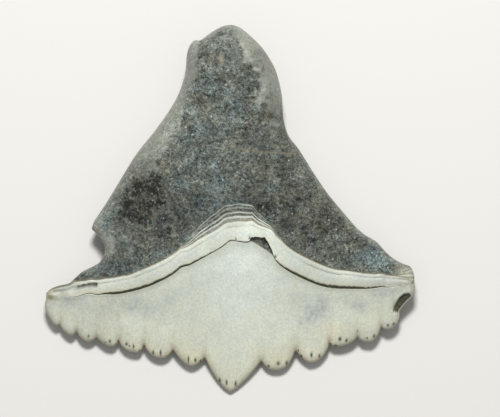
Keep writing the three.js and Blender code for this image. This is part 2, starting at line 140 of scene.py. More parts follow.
# The ledge over the crown. Each width or height is in mm at stations along the ledge; light is
# how bright the band is there: its own whiteness, and where it goes over 1, near the middle, a
# painted highlight.
ledgeForm = {
    "slit": [(-10, 0.01), (-9.2, 0.045), (-7.5, 0.06), (-6.8, 0.09), (-5.6, 0.125), (-4.3, 0.13),
             (-3, 0.1), (-1.2, 0.06), (0.3, 0.04), (1.1, 0.045), (2.4, 0.06), (3.4, 0.11),
             (4.6, 0.145), (5.8, 0.13), (7.2, 0.08), (8.1, 0.045), (9, 0.015), (10, 0.01)],
    "band": [(-10, 0.2), (-9.3, 0.5), (-8.8, 0.7), (-8.4, 0.8), (-7.8, 0.7), (-7.1, 0.78),
             (-6.4, 0.82), (-5.6, 0.95), (-4.9, 0.98), (-3.3, 1.0), (-2.5, 0.96), (-1.6, 1.1),
             (-0.7, 1.08), (-0.3, 1.14), (0.1, 0.98), (0.5, 1.1), (1.0, 1.14), (1.5, 1.04),
             (2.3, 1.26), (2.8, 1.31), (3.2, 1.22), (3.6, 1.17), (4.5, 1.12), (5.0, 1.08),
             (5.8, 0.95), (6.6, 0.89), (7.2, 0.8), (8.0, 0.7), (8.4, 0.66), (8.9, 0.57),
             (9.4, 0.46), (10, 0.2)],
    "ridges": [(-10, 0.08), (-3.3, 0.1), (-2.65, 0.2), (-2.05, 0.46), (-1.6, 0.67), (-1, 0.88),
               (-0.4, 0.97), (0.1, 0.94), (0.5, 0.96), (1, 0.9), (1.43, 0.7), (1.83, 0.5),
               (2.2, 0.33), (2.9, 0.15), (3.6, 0.1), (10, 0.08)],
    "bite": [(1.06, 0), (1.17, 0.15), (1.57, 0.36), (1.93, 0.57), (2.1, 0.43), (2.32, 0.17),
             (2.38, 0)],
    "edgeRise": [(-10, 0.02), (-8.8, 0.03), (-7.5, 0.06), (-6.5, 0.1), (-4.5, 0.13), (-3, 0.12),
                 (-1, 0.08), (0.3, 0.07), (1.1, 0.1), (2.4, 0.1), (3.6, 0.13), (5.5, 0.15),
                 (7, 0.12), (8.2, 0.05), (9.2, 0.02), (10, 0.02)],
    "topRise": [(-10, 0.02), (-8.6, 0.06), (-7, 0.11), (-2.6, 0.17), (0.3, 0.24), (2.2, 0.21),
                (3.5, 0.17), (7, 0.12), (8.5, 0.06), (10, 0.02)],
    "light": [(-10, 0.6), (-9, 0.78), (-8, 1.0), (-5, 1.0), (-3.5, 1.0), (-2, 1.1), (0, 1.2),
              (1.2, 1.45), (2.2, 1.4), (2.8, 1.15), (3.6, 0.97), (4.4, 0.96), (5.6, 0.82),
              (7, 0.79), (8.2, 0.7), (9, 0.55), (9.6, 0.45), (10, 0.4)],
}

# The slit under the ledge, whose dark lips and floor are painted shade under the ledge, and
# the place where a flake of the ledge is missing.
slitForm = {
    "depth": 0.11,
    "fullWidth": 0.06,         # a narrower slit is shallower and paler too
    "lowerLipShade": 0.6,          # how dark its lower lip, its floor and its upper edge are
    "slitFloorShade": 0.65,
    "upperEdgeShade": 0.55,
    "flakeDepth": 0.11,
    "flakeWidth": 0.15,        # from here on the floor of the missing flake shows
}

# Across the band: the share of its width, the bulge, and how dark a seam is there.
bandProfile = [
    (0.07, 0.005, 0), (0.2, 0.014, 0), (0.42, 0.022, 0), (0.66, 0.02, 0), (0.74, 0.006, 0.4),
    (0.79, 0.016, 0), (0.9, 0.004, 0), (1.0, -0.015, 0),
]

# Distances of the rows that round an edge, from the edge, in mm.
rowSteps = {
    "margin": (0.012, 0.03, 0.055, 0.09, 0.13, 0.17, 0.22, 0.28, 0.34, 0.41, 0.48, 0.56, 0.65,
               0.76, 0.9, 1.1),
    "rim": (0.85, 0.63, 0.44, 0.28, 0.15, 0.06, 0.015),
    "rimBack": (0.03, 0.14, 0.34, 0.65, 1.1),
    "marginBack": (0.7, 0.4, 0.2, 0.08, 0.02),
}

# Width of the root's smooth skin, in mm, at stations along the ledge.
skinWidth = [
    (-10, 0.1), (-7, 0.05), (-5.4, 0.5), (-4.8, 0.4), (-4.3, 0.3), (-3.8, 0.65), (-3.3, 1.05),
    (-2.95, 1.15), (-2.4, 0.95), (-2, 0.55), (-1.6, 0.4), (-1.2, 0.45), (-0.9, 0.4),
    (-0.6, 0.15), (0, 0.25), (0.4, 0.85), (0.8, 1.2), (1.2, 1.05), (1.5, 0.75), (1.9, 0.7),
    (2.3, 0.35), (2.6, 0), (4, 0), (6, 0.1), (8, 0.1), (10, 0.1),
]

# Unevenness of edges, surfaces and stains: height in mm or share, size in mm, seed.
unevenness = {
    "slitEdgeFine": (0.02, 0.13, 71), "slitEdgeBroad": (0.022, 0.4, 72),
    "flakeFloor": (0.05, 0.15, 8), "flakeEdge": (0.06, 0.1, 5), "seam": (1.0, 0.45, 63),
    "layerWaver": (0.012, 0.35, 61), "layerGlow": (0.35, 0.5, 62), "chipFloor": (0.1, 0.15, 31),
    "crownBroad": (0.012, 0.9, 11), "crownFine": (0.006, 0.3, 12),
    "rootBroad": (0.03, 0.8, 21), "rootMiddle": (0.025, 0.4, 22), "rootFine": (0.014, 0.2, 23),
    "skinBroad": (0.3, 0.5, 41), "skinFine": (0.35, 0.2, 42),
    "bandStain": (0.5, 0.5, 51), "coolStain": (0.45, 0.3, 52),
}

# Worn edges of the layers behind the band, as shares of the ridges' width: how far up, how
# high over the step below, how much enamel shows, and how dark it is. Pale crests and dark
# steps between them are painted light and shade over the layers' own lines.
ridgeProfile = [
    (0.02, 1.0, 0.6, 0.2), (0.07, 0.93, 0.3, 0.45), (0.12, 0.9, 0.35, 0.3),
    (0.17, 0.85, 0.3, 0.5), (0.21, 0.93, 0.9, 0), (0.3, 0.95, 1.0, 0), (0.33, 0.8, 0.4, 0.2),
    (0.37, 0.66, 0.05, 0.45), (0.44, 0.64, 0.05, 0.25), (0.49, 0.74, 0.85, 0),
    (0.54, 0.74, 0.95, 0), (0.57, 0.56, 0.2, 0.1), (0.63, 0.46, 0.02, 0.4),
    (0.72, 0.44, 0.04, 0.2), (0.77, 0.5, 0.35, 0),
    (0.81, 0.47, 0.35, 0), (0.85, 0.3, 0.02, 0.35), (0.93, 0.28, 0.06, 0.1),
    (0.965, 0.38, 0.75, 0), (1.0, 0.34, 0.7, 0), (1.04, 0.05, 0.0, 0.1),
]

# The hollow and the split layers at the end of the right wing, the pits in the cusps, and how
# deep the root's dark patches and lines are.
damageForm = {
    "wingChip": [(8.87, -5.65), (8.9, -5.42), (9.09, -5.06), (9.24, -4.86), (9.47, -4.68),
                 (9.73, -4.61), (9.95, -4.79), (9.66, -5.06), (9.4, -5.36), (9.2, -5.68)],
    "wingChipDepth": 0.22,
    "patchDepth": 0.05,
    "lineDepth": 0.06,
    "splitHeight": 0.035,
    "splitCloseness": 26.0,
    "poreDepth": 0.08,
    "pores": [  # x, v, half width, half length
        (-0.53, -9.36, 0.06, 0.14), (-0.16, -9.49, 0.06, 0.15), (0.33, -9.55, 0.06, 0.15),
        (-2.24, -8.23, 0.05, 0.19), (-1.86, -8.27, 0.07, 0.11), (-1.6, -8.3, 0.05, 0.06),
        (-4.15, -7.85, 0.05, 0.12), (-3.75, -7.88, 0.055, 0.18), (-4.6, -7.5, 0.04, 0.04),
        (-5.6, -7.4, 0.08, 0.09), (-5.22, -7.54, 0.05, 0.14), (-5.45, -7.5, 0.05, 0.05),
        (-4.9, -7.75, 0.04, 0.05), (-6.51, -7.25, 0.06, 0.1), (-6.75, -7.3, 0.03, 0.04),
        (-7.67, -6.97, 0.05, 0.08), (2.12, -8.59, 0.06, 0.08), (2.65, -8.46, 0.1, 0.11),
        (3.1, -8.42, 0.06, 0.12), (3.74, -7.74, 0.04, 0.05), (3.9, -8.05, 0.06, 0.09),
        (4.45, -8.0, 0.07, 0.14), (4.88, -8.04, 0.055, 0.11), (6.0, -7.14, 0.09, 0.12),
        (6.35, -7.2, 0.07, 0.09), (5.76, -7.48, 0.1, 0.05), (5.5, -7.38, 0.06, 0.05),
        (6.95, -6.7, 0.04, 0.04), (7.47, -7.07, 0.06, 0.06), (7.85, -6.96, 0.06, 0.09),
        (8.61, -6.38, 0.07, 0.08), (8.92, -6.3, 0.06, 0.08), (0.34, -1.7, 0.05, 0.06),
        (1.08, -1.63, 0.07, 0.07), (2.5, -2.64, 0.08, 0.08), (-3.2, -6.6, 0.03, 0.05),
    ],
}

# Lumps and hollows of the root's face: x, v, radius, rise.
rootRelief = [
    (-4.3, 0.6, 1.5, -0.12), (-5.9, -0.4, 0.9, 0.07), (-1.6, 7.0, 1.1, 0.1),
    (0.6, 8.2, 1.3, 0.07), (1.9, 6.3, 0.9, 0.08), (0.2, 4.6, 1.3, -0.08),
    (-3.2, 3.2, 1.2, 0.06), (2.6, 2.0, 1.4, 0.08), (4.6, -1.6, 1.2, 0.06),
    (-1.2, 1.6, 1.0, -0.06), (7.2, -2.6, 0.8, -0.05), (-1.66, 9.1, 0.3, -0.22),
]

# Stains, as x, v, radius across, radius along, strength. Shade and shine take light away.
stainPlaces = {
    "cool": [
        (-6.77, -5.54, 0.5, 0.35, 0.5), (-6.0, -5.38, 0.5, 0.35, 0.8), (-5.2, -5.43, 0.5, 0.4, 0.7),
        (-4.4, -5.73, 0.6, 0.4, 0.8), (-3.0, -4.84, 0.5, 0.4, 0.3), (-8.7, -5.1, 0.8, 0.25, 1.3),
        (-7.9, -5.3, 0.9, 0.3, 0.35), (4.58, -5.75, 0.6, 0.45, 1.2), (5.1, -5.2, 0.35, 0.35, 1.1),
        (4.0, -6.3, 0.6, 0.3, 0.95), (3.56, -4.95, 0.6, 0.4, 0.5), (6.3, -4.95, 0.4, 0.2, 0.9),
        (6.98, -5.38, 0.4, 0.2, 1.3), (7.4, -5.7, 0.3, 0.2, 0.9), (8.25, -4.65, 0.5, 0.2, 1.2),
        (8.8, -4.6, 0.35, 0.22, 1.2), (2.1, -6.47, 0.5, 0.35, 0.35), (9.3, -4.4, 0.4, 0.2, 0.6),
        (-0.6, -6.9, 0.7, 0.5, 0.2), (-8.4, -4.35, 0.8, 0.2, 0.4), (-4.75, -3.38, 0.5, 0.12, 0.7),
        (8.2, -2.7, 0.7, 0.5, 1.0), (7.4, -2.7, 0.8, 0.4, 0.8), (8.7, -3.05, 0.3, 0.25, 0.8),
        (-0.1, 6.5, 0.22, 0.28, 0.9), (-0.9, 6.3, 0.5, 0.5, 0.5), (0.3, 5.2, 0.5, 0.8, 0.4),
        (-0.5, 1.2, 0.8, 0.9, 0.5), (-0.9, 2.3, 0.5, 0.4, 0.5), (-6.9, -0.7, 0.45, 0.4, 0.8),
        (-6.7, -1.4, 0.3, 0.6, 0.7), (-6.6, -3.3, 1.2, 0.3, 0.7), (-1.9, 4.3, 0.5, 0.5, 0.5),
        (-1.6, 0.2, 0.6, 0.6, 0.5), (0.2, 0.35, 0.8, 0.2, 0.6), (0.2, 8.7, 0.4, 0.3, 0.4),
        (4.8, -0.3, 1.5, 1.4, -0.6), (-5.2, 1.2, 1.1, 1.5, -0.6), (-2.5, 1.6, 0.8, 0.7, 0.5),
        (1.5, 5.3, 0.7, 0.8, -0.5), (-3.8, 3.4, 0.5, 0.9, -0.4), (-0.2, -5.5, 0.8, 0.8, -0.4),
        (-2.0, 5.4, 0.4, 1.2, -0.3),
    ],
    "dim": [
        (-4.0, 1.7, 0.5, 0.35, 1.0), (-5.1, 0.5, 0.6, 0.7, 0.9), (-4.1, 0.6, 0.4, 0.6, 0.9),
        (-4.8, -0.3, 0.6, 0.3, 1.0), (-5.7, -0.25, 0.4, 0.35, 1.0), (-5.6, 0.7, 0.3, 0.6, 0.8),
        (-4.4, 0.9, 1.0, 0.8, 0.6), (-3.0, -0.6, 0.8, 0.6, 0.5), (-3.5, -1.6, 0.8, 0.5, 0.45),
        (-0.95, 1.55, 0.16, 0.2, 1.0), (0.8, 4.25, 0.25, 0.2, 1.0), (-1.8, 4.0, 0.4, 0.3, 0.6),
        (-1.6, 3.5, 0.25, 0.25, 0.6), (2.2, 5.5, 0.25, 0.4, 0.6), (2.5, 6.1, 0.12, 0.35, 0.7),
        (0.9, 5.9, 0.15, 0.15, 0.8), (0.9, 4.75, 0.3, 0.1, 0.7), (-0.15, 5.55, 0.1, 0.15, 0.9),
        (-1.4, 6.9, 0.4, 0.4, 0.5), (-1.2, 7.8, 0.5, 0.3, 0.4), (1.5, 6.6, 0.3, 0.15, 0.7),
        (0.9, 6.5, 0.25, 0.2, 0.5), (1.45, 7.68, 0.35, 0.1, 0.9), (-0.5, 9.45, 0.2, 0.13, 1.0),
        (-0.15, 9.68, 0.15, 0.1, 0.8), (0.15, 9.62, 0.15, 0.08, 0.8), (4.35, 0.5, 0.12, 0.22, 1.0),
        (3.65, 0.45, 0.15, 0.18, 0.8), (2.7, 1.85, 0.12, 0.18, 0.9), (1.9, 2.6, 0.5, 0.5, 0.6),
        (3.0, 0.5, 0.9, 0.9, 0.4), (2.0, -0.3, 0.8, 0.6, 0.5), (4.6, -1.5, 1.6, 0.9, 0.35),
        (6.0, -1.2, 0.8, 0.5, 0.35), (1.6, 0.1, 0.6, 0.3, 0.6), (-6.5, -2.85, 0.16, 0.1, 0.9),
        (-5.25, -3.1, 0.2, 0.1, 1.0), (-5.45, -2.75, 0.1, 0.1, 0.7), (-4.9, -2.3, 0.3, 0.2, 0.5),
        (-3.4, 3.3, 0.15, 0.15, 0.8), (8.85, -3.2, 0.45, 0.2, 1.0),
        (-0.65, 8.42, 0.1, 0.15, 0.8), (-0.22, 8.25, 0.07, 0.2, 0.6),
        (-0.66, 8.0, 0.07, 0.2, 0.6), (-2.1, -0.2, 0.3, 0.3, 0.4),
        (2.1, -1.5, 0.3, 0.25, 0.5), (-6.2, 0.4, 0.2, 0.1, 0.6), (-4.7, -0.8, 0.7, 0.4, 0.6),
    ],
    "grimeAndShade": [
        (-9.74, -4.87, 0.24, 0.15, 0.95), (-9.3, -4.98, 0.35, 0.06, 0.4),
        (-8.5, -4.98, 0.4, 0.05, 0.35), (-8.9, -4.5, 0.3, 0.05, 0.3),
        (9.45, -4.25, 0.3, 0.06, 0.3), (-9.5, -4.5, 0.3, 0.06, 0.3),
        (8.9, -5.15, 0.1, 0.3, 0.35), (-6.05, -5.9, 0.12, 0.2, 0.25), (9.9, -4.5, 0.1, 0.2, 0.3),
    ],
    "shade": [
        (4.5, -0.5, 2.6, 2.2, 0.18), (0.3, 0.5, 1.6, 0.8, 0.38), (-4.7, 0.5, 1.3, 1.2, 0.36),
        (-2.5, 0.1, 1.3, 1.1, 0.24), (-3.7, -1.3, 0.7, 0.4, 0.32), (-4.5, 2.1, 0.5, 0.6, 0.28),
        (-6.0, 0.5, 0.4, 0.6, 0.2), (-1.95, 5.8, 0.35, 0.7, -0.4), (2.3, 5.3, 0.6, 0.6, 0.3),
        (1.9, 2.55, 0.4, 0.4, 0.28), (3.0, -0.9, 0.6, 0.5, 0.28), (1.3, 4.9, 0.5, 0.5, 0.12),
        (-3.2, -1.0, 0.8, 0.5, 0.15), (-5.9, -0.6, 0.4, 0.4, 0.3), (-1.9, 1.0, 0.5, 0.3, 0.25),
        (1.3, -0.3, 0.6, 0.5, 0.2), (1.9, 5.5, 0.3, 0.3, 0.3), (2.6, 4.8, 0.2, 0.3, 0.25),
        (0.4, 8.8, 2.0, 1.2, -0.12), (-0.1, 6.5, 0.35, 0.45, -0.35), (-0.5, 1.2, 0.8, 0.9, -0.2),
        (2.9, 0.7, 1.3, 1.4, 0.12), (0.3, -0.1, 2.0, 0.5, 0.08), (1.8, 3.8, 0.8, 0.9, 0.1),
        (1.7, 8.3, 0.8, 1.0, 0.12), (7.0, -1.9, 0.8, 0.7, 0.1), (8.1, -2.6, 0.8, 0.6, -0.35),
        (-5.4, 1.9, 1.0, 0.8, 0.15), (-3.1, 4.3, 0.7, 1.5, -0.3), (-6.4, -2.8, 1.6, 1.0, 0.25),
        (-6.6, -1.0, 0.7, 1.0, -0.15), (2.0, 8.0, 0.9, 1.0, 0.15), (-2.4, -0.3, 3.6, 0.8, 0.12),
        (4.3, 0.2, 1.1, 1.1, -0.12), (-4.6, -0.6, 0.8, 0.5, 0.12),
    ],
    "shine": [
        (3.0, -6.4, 1.1, 0.6, -0.12), (0.1, -9.4, 1.5, 1.2, 0.04), (6.2, -7.0, 0.9, 0.4, 0.08),
        (-6.0, -5.4, 1.2, 0.5, 0.08), (7.3, -5.9, 1.2, 0.5, -0.1), (-8.4, -6.1, 1.0, 0.5, -0.08),
        (-8.7, -5.1, 0.8, 0.4, 0.1), (5.0, -5.2, 0.5, 0.5, 0.08), (-5.6, -7.2, 0.9, 0.6, 0.1),
        (-3.3, -6.6, 0.5, 0.9, -0.08), (1.2, -8.1, 0.5, 0.3, 0.1),
    ],
    # pale ground; the small spots at (2.0, 6.9) and (1.95, 6.95) are a painted glint
    "pale": [
        (-1.85, 8.6, 0.13, 0.4, 1.0), (-1.9, 7.7, 0.2, 0.5, 0.5), (0.7, 8.9, 0.9, 0.9, 0.3),
        (2.0, 6.9, 0.25, 0.2, 0.8), (2.1, 7.4, 0.4, 0.9, 0.3), (-0.2, 9.25, 0.3, 0.12, 0.6),
        (-0.9, 8.7, 0.35, 0.3, 0.4), (-0.45, 8.12, 0.12, 0.22, 0.6),
        (-2.0, 5.2, 0.12, 0.25, 0.6), (-3.2, 3.75, 0.25, 0.15, 0.5),
        (-2.78, 3.35, 0.08, 0.08, 1.0), (-2.1, 2.64, 0.09, 0.08, 1.0), (-2.42, 2.6, 0.12, 0.08, 0.7),
        (-0.3, 3.55, 0.08, 0.08, 1.0), (-0.1, 1.8, 0.1, 0.08, 0.7), (-1.9, 3.85, 0.1, 0.1, 0.7),
        (-5.45, 0.8, 0.14, 0.16, 0.7), (-4.7, 1.25, 0.1, 0.1, 0.8), (-4.25, 1.35, 0.1, 0.08, 0.6),
        (-3.8, 1.4, 0.09, 0.09, 0.8), (-4.65, 0.65, 0.12, 0.15, 0.6), (-6.2, -1.8, 0.9, 0.9, 0.2),
        (0.35, -2.6, 1.8, 0.8, 0.8), (0.3, -3.6, 2.6, 1.3, 0.7), (0.4, -1.3, 1.8, 0.4, 0.6),
        (0.3, -5.6, 2.4, 1.6, 0.5), (1.95, 6.95, 0.1, 0.08, 1.0), (-1.55, 6.8, 0.09, 0.07, 0.8),
        (0.18, 9.45, 0.08, 0.06, 1.0), (6.1, -3.9, 1.5, 0.3, 0.3), (-7.0, -4.3, 1.4, 0.2, 0.3),
    ],
    "warm": [
        (-0.45, 8.12, 0.14, 0.24, 0.75), (-3.55, 1.85, 0.1, 0.07, 1.0),
        (-3.38, 2.02, 0.09, 0.08, 1.0), (-3.65, 2.45, 0.11, 0.1, 0.7), (-5.0, 1.85, 0.12, 0.1, 0.6),
        (-4.25, -0.53, 0.14, 0.09, 0.6), (-9.75, -4.9, 0.25, 0.16, 1.0),
        (-4.7, 0.7, 0.12, 0.14, 0.35),
        (-3.9, -0.25, 0.25, 0.12, 0.25), (9.1, -3.25, 0.3, 0.15, 0.4), (0.95, 3.1, 0.1, 0.08, 0.8),
        (1.35, 3.2, 0.08, 0.06, 0.7), (2.2, 5.5, 0.4, 0.5, 0.2), (-5.4, 0.5, 0.08, 0.08, 0.4),
        (9.6, -3.6, 0.4, 0.3, 0.7), (3.1, -8.1, 0.9, 0.6, 0.3), (-2.2, -8.0, 0.9, 0.6, 0.3),
        (5.6, -6.7, 0.7, 0.5, 0.3),
        (0.9, 8.7, 0.9, 0.8, 0.12), (2.0, 7.6, 0.4, 0.7, 0.15),
    ],
}

# Thin marks drawn along lines: the points, the half width, the strength.
strokePlaces = {
    "dark": [
        ([(-8.55, -4.3), (-8.25, -4.26)], 0.05, 0.35),
        ([(-8.25, -4.26), (-7.95, -4.22)], 0.055, 0.8),
        ([(-7.95, -4.22), (-7.55, -4.18)], 0.07, 1.4),
        ([(-7.65, -4.18), (-7.27, -4.14)], 0.085, 1.8),
        ([(-9.5, -4.5), (-8.9, -4.44), (-8.5, -4.3)], 0.07, 0.35),
        ([(0.4, 9.1), (0.55, 8.85), (0.62, 8.5), (0.72, 8.2)], 0.06, 0.8),
        ([(-2.6, 4.5), (-2.35, 4.68), (-2.1, 4.75)], 0.07, 0.8),
        ([(-1.58, 9.1), (-1.45, 8.85), (-1.5, 8.5)], 0.09, 0.6),
        ([(-3.3, 3.85), (-3.1, 3.97), (-2.9, 3.85)], 0.06, 0.7),
        ([(-1.75, 1.3), (-1.55, 1.0), (-1.45, 0.75)], 0.06, 0.6),
        ([(8.0, -3.42), (8.6, -3.22), (9.0, -2.9)], 0.05, 0.5),
        ([(-3.05, 2.65), (-2.98, 2.4), (-3.1, 2.2)], 0.06, 0.7),
        ([(1.82, 7.75), (1.8, 7.4)], 0.04, 0.5),
        ([(-6.6, -2.9), (-6.42, -2.84)], 0.06, 0.65),
        ([(-5.38, -3.13), (-5.12, -3.0)], 0.07, 0.75),
        ([(-4.12, -2.76), (-3.92, -2.64)], 0.06, 0.55),
        ([(-6.2, -2.5), (-6.05, -2.38)], 0.05, 0.5),
        ([(-5.6, -2.4), (-5.45, -2.3)], 0.05, 0.5),
        ([(-4.8, -3.44), (-4.62, -3.36)], 0.03, 0.3),
    ],
    "pale": [
        ([(-1.25, 2.35), (-0.95, 2.0)], 0.05, 0.6),
        ([(-0.85, 1.75), (-0.75, 1.2), (-0.6, 0.85), (-0.38, 0.5), (-0.5, 0.1)], 0.06, 0.55),
        ([(-2.7, 4.35), (-2.3, 4.5), (-2.0, 4.7), (-1.7, 4.72)], 0.05, 0.5),
        ([(-4.2, -0.5), (-3.7, -0.1), (-3.1, 0.2)], 0.14, 0.35),
        ([(-1.3, 0.4), (-1.3, -0.2)], 0.04, 0.4),
        ([(0.6, 2.0), (1.4, 2.5)], 0.05, 0.3),
    ],
    "warm": [
        ([(0.1, 3.3), (0.9, 3.18), (1.6, 3.06), (2.4, 3.02), (3.6, 2.93)], 0.06, 0.42),
    ],
}


# A cubic through the points of a rail, whose slope at each point comes from its neighbours.
def railThrough(rail, stations):
    points = np.array(rail, float)
    knots = points[:, 0]
    i = np.clip(np.searchsorted(knots, stations, side="right") - 1, 0, len(knots) - 2)
    before, after = np.maximum(i - 1, 0), np.minimum(i + 2, len(knots) - 1)
    span = knots[i + 1] - knots[i]
    t = (stations - knots[i]) / span
    made = []
    for axis in (1, 2):
        p = points[:, axis]
        start = (p[i + 1] - p[before]) / (knots[i + 1] - knots[before]) * span
        end = (p[after] - p[i]) / (knots[after] - knots[i]) * span
        rise = p[i + 1] - p[i]
        made.append(p[i] + t * start + t**2 * (3 * rise - 2 * start - end)
                    + t**3 * (start + end - 2 * rise))
    return made


# A value that runs straight between the listed stations.
def widthAt(pairs, stations):
    places, values = np.array(pairs, float).T
    return np.interp(stations, places, values)


# Goes from 0 at low to 1 at high as 3 t^2 - 2 t^3; low may be the greater of the two.
def smoothStep(low, high, value):
    t = np.clip((value - low) / (high - low), 0, 1)
    return t * t * (3 - 2 * t)


# Soft random hills of one size: random heights on a square lattice, blended between corners.
def hills(x, v, size, seed):
    cells = 256
    lattice = np.random.default_rng(seed).uniform(-1, 1, (cells + 1, cells + 1))
    gx, gv = x / size + cells // 2, v / size + cells // 2
    i, j = np.floor(gx).astype(int) % cells, np.floor(gv).astype(int) % cells
    fx, fv = gx - np.floor(gx), gv - np.floor(gv)
    fx, fv = fx * fx * (3 - 2 * fx), fv * fv * (3 - 2 * fv)
    low = lattice[i, j] * (1 - fx) + lattice[i + 1, j] * fx
    high = lattice[i, j + 1] * (1 - fx) + lattice[i + 1, j + 1] * fx
    return low * (1 - fv) + high * fv


# One kind of unevenness: its height times the hills of its size.
def uneven(name, x, v):
    height, size, seed = unevenness[name]
    return height * hills(x, v, size, seed)


# Sum of round stains, each strength * exp(-distance^2) with its own two radii.
def stains(name, x, v):
    total = np.zeros_like(x)
    for cx, cv, across, along, strength in stainPlaces[name]:
        total += strength * np.exp(-(((x - cx) / across) ** 2 + ((v - cv) / along) ** 2))
    return total


# Shortest distance from each point to the closed outline, taken block by block.
def outlineDistance(outline, x, v):
    a = np.array(outline)
    ab = np.roll(a, -1, axis=0) - a
    lengthSquared = np.maximum((ab**2).sum(1), 1e-12)
    flatX, flatV = x.ravel(), v.ravel()
    nearest = np.empty(flatX.size)
    block = 4000
    for start in range(0, flatX.size, block):
        dx = flatX[start:start + block, None] - a[:, 0]
        dv = flatV[start:start + block, None] - a[:, 1]
        t = np.clip((dx * ab[:, 0] + dv * ab[:, 1]) / lengthSquared, 0, 1)
        gap = (dx - t * ab[:, 0]) ** 2 + (dv - t * ab[:, 1]) ** 2
        nearest[start:start + block] = np.sqrt(gap.min(1))
    return nearest.reshape(x.shape)


# Thin marks: the greatest of strength * exp(-(distance to the line / half width)^2).
def strokes(name, x, v):
    total = np.zeros_like(x)
    for line, halfWidth, strength in strokePlaces[name]:
        distance = outlineDistance(line + line[::-1], x, v)
        total = np.maximum(total, strength * np.exp(-((distance / halfWidth) ** 2)))
    return total


# Distance into a polygon: the distance to its sides, positive inside and negative outside.
def depthInPolygon(polygon, x, v):
    inside = np.zeros(x.shape, bool)
    for (ax, av), (bx, bv) in zip(polygon, polygon[1:] + polygon[:1]):
        crosses = ((av > v) != (bv > v)) & (x < ax + (bx - ax) * (v - av) / (bv - av + 1e-12))
        inside ^= crosses
    return np.where(inside, 1, -1) * outlineDistance(polygon, x, v)


# The cusped margin. A flank falls short of its tip by 1 - (1 - f^round)^full, where f goes
# from 0 at the tip to 1 at the notch.
def marginLine(stations):
    x, v = railThrough(toothRails["leftSide"], np.clip(stations, -10, firstNotch[0]))
    notch = firstNotch
    for cusp in cuspForm:
        for side, corner in (("before", notch), ("after", cusp["notch"])):
            if corner is None:
                continue
            low, high = sorted((cusp["tip"][0], corner[0]))
            here = (stations >= low) & (stations <= high)
            f = np.abs((stations[here] - cusp["tip"][0]) / (corner[0] - cusp["tip"][0]))
            roundness, fullness = cusp[side]
            depth = (1 - f**roundness) ** fullness
            x[here] = stations[here]
            v[here] = corner[1] + (cusp["tip"][1] - corner[1]) * depth
        notch = cusp["notch"]
    past = stations > cuspForm[-1]["tip"][0]
    x[past], v[past] = railThrough(toothRails["rightSide"], stations[past])
    return x, v


# Stations spaced so that the margin, the ledge and the rim are all cut finely: the share of
# the stations up to a place is the share of the three lines' lengths up to there.
def spreadStations(count):
    dense = np.linspace(-9.98, 9.98, 12000)
    mx, mv = marginLine(dense)
    rx, rv = railThrough(toothRails["rim"], dense)
    travel = np.hypot(np.diff(mx), np.diff(mv)) + 0.5 * np.hypot(np.diff(rx), np.diff(rv))
    travel = np.concatenate([[0], np.cumsum(travel + 0.5 * np.diff(dense))])
    return np.interp(np.linspace(0, travel[-1], count), travel, dense)


# The face without edges: level on the crown, drooping to the wings with the square of x,
# then sinking evenly above the ledge and more towards the root's sides.
def faceHeight(x, v):
    droop = np.where(x < 0, toothForm["leftDroop"], toothForm["rightDroop"])
    droop = droop * (x / toothForm["halfWidth"]) ** 2
    ledgeV = railThrough(toothRails["ledge"], np.clip(x, -9.99, 9.99))[1]
    above = np.maximum(0, v - ledgeV)
    return (-droop - toothForm["rootSink"] * above
            - toothForm["rootCurve"] * x * x * (1 - np.exp(-above / 1.5)))


# Thickness grows with the 1.6th power of the way from the cusps to the middle of the root,
# falls again with the square of the way to its end, and dies away sideways as a bell curve.
def thicknessAt(x, v):
    growth = np.clip((v + 10) / 14, 0, 1) ** 1.6
    bell = np.exp(-(((x - toothForm["rootMiddle"]) / toothForm["rootSpread"]) ** 2))
    taper = 1 - toothForm["endTaper"] * np.clip((v - 4) / 6, 0, 1) ** 2
    thin = toothForm["marginThickness"]
    return thin + (toothForm["rootThickness"] - thin) * growth * bell * taper


# The lines that every section is hung from, for a row of stations. The scales are below 1
# where the crown or the root is too short for its edges and ridges at full width.
def sectionLines(stations):
    lines = {"station": stations}
    lines["margin"] = mx, mv = marginLine(stations)
    lines["ledge"] = lx, lv = railThrough(toothRails["ledge"], stations)
    lines["rim"] = rx, rv = railThrough(toothRails["rim"], stations)
    lines["bend"] = (lx + 0.05 * (rx - lx), lv + 0.55 * (rv - lv))
    lines["crown"] = np.hypot(lx - mx, lv - mv)
    lines["root"] = np.hypot(rx - lx, rv - lv)
    for name, pairs in ledgeForm.items():
        lines[name] = widthAt(pairs, stations)
    lines["crownScale"] = np.minimum(1, lines["crown"] / 2.2)
    lines["bandEnd"] = np.minimum(lines["band"], 0.8 * lines["root"])
    beyond = lines["root"] - lines["bandEnd"]
    lines["rootScale"] = np.minimum(1, beyond / (lines["ridges"] + 1.5))
    lines["small"] = np.minimum(lines["rootScale"], lines["crownScale"])
    addLedgeLines(lines)
    return lines


# Adds the ledge's lower edge, wavering and bitten where the flake is missing, the two sides
# of the band over it, and the path where the rows of the root's face end.
def addLedgeLines(lines):
    small, rootScale = lines["small"], lines["rootScale"]
    along = lines["along"] = (lines["ledge"][0], np.zeros_like(lines["station"]))
    lines["bitten"] = np.clip(lines["bite"] / slitForm["flakeWidth"], 0, 1)
    lines["open"] = np.clip(lines["slit"] / slitForm["fullWidth"], 0.1, 1)
    ragged = lines["open"] * (uneven("slitEdgeFine", *along) + uneven("slitEdgeBroad", *along))
    flake = lines["bite"] * rootScale * (1 + uneven("flakeEdge", *along))
    lines["edge"] = 0.5 * lines["slit"] * small + flake + ragged * small
    lines["bandStart"] = lines["edge"] + 0.08 * rootScale
    lines["bandTop"] = np.maximum(lines["bandEnd"], lines["bandStart"] + 0.1 * rootScale)
    lines["faceEnd"] = lines["root"] - 1.1 * rootScale


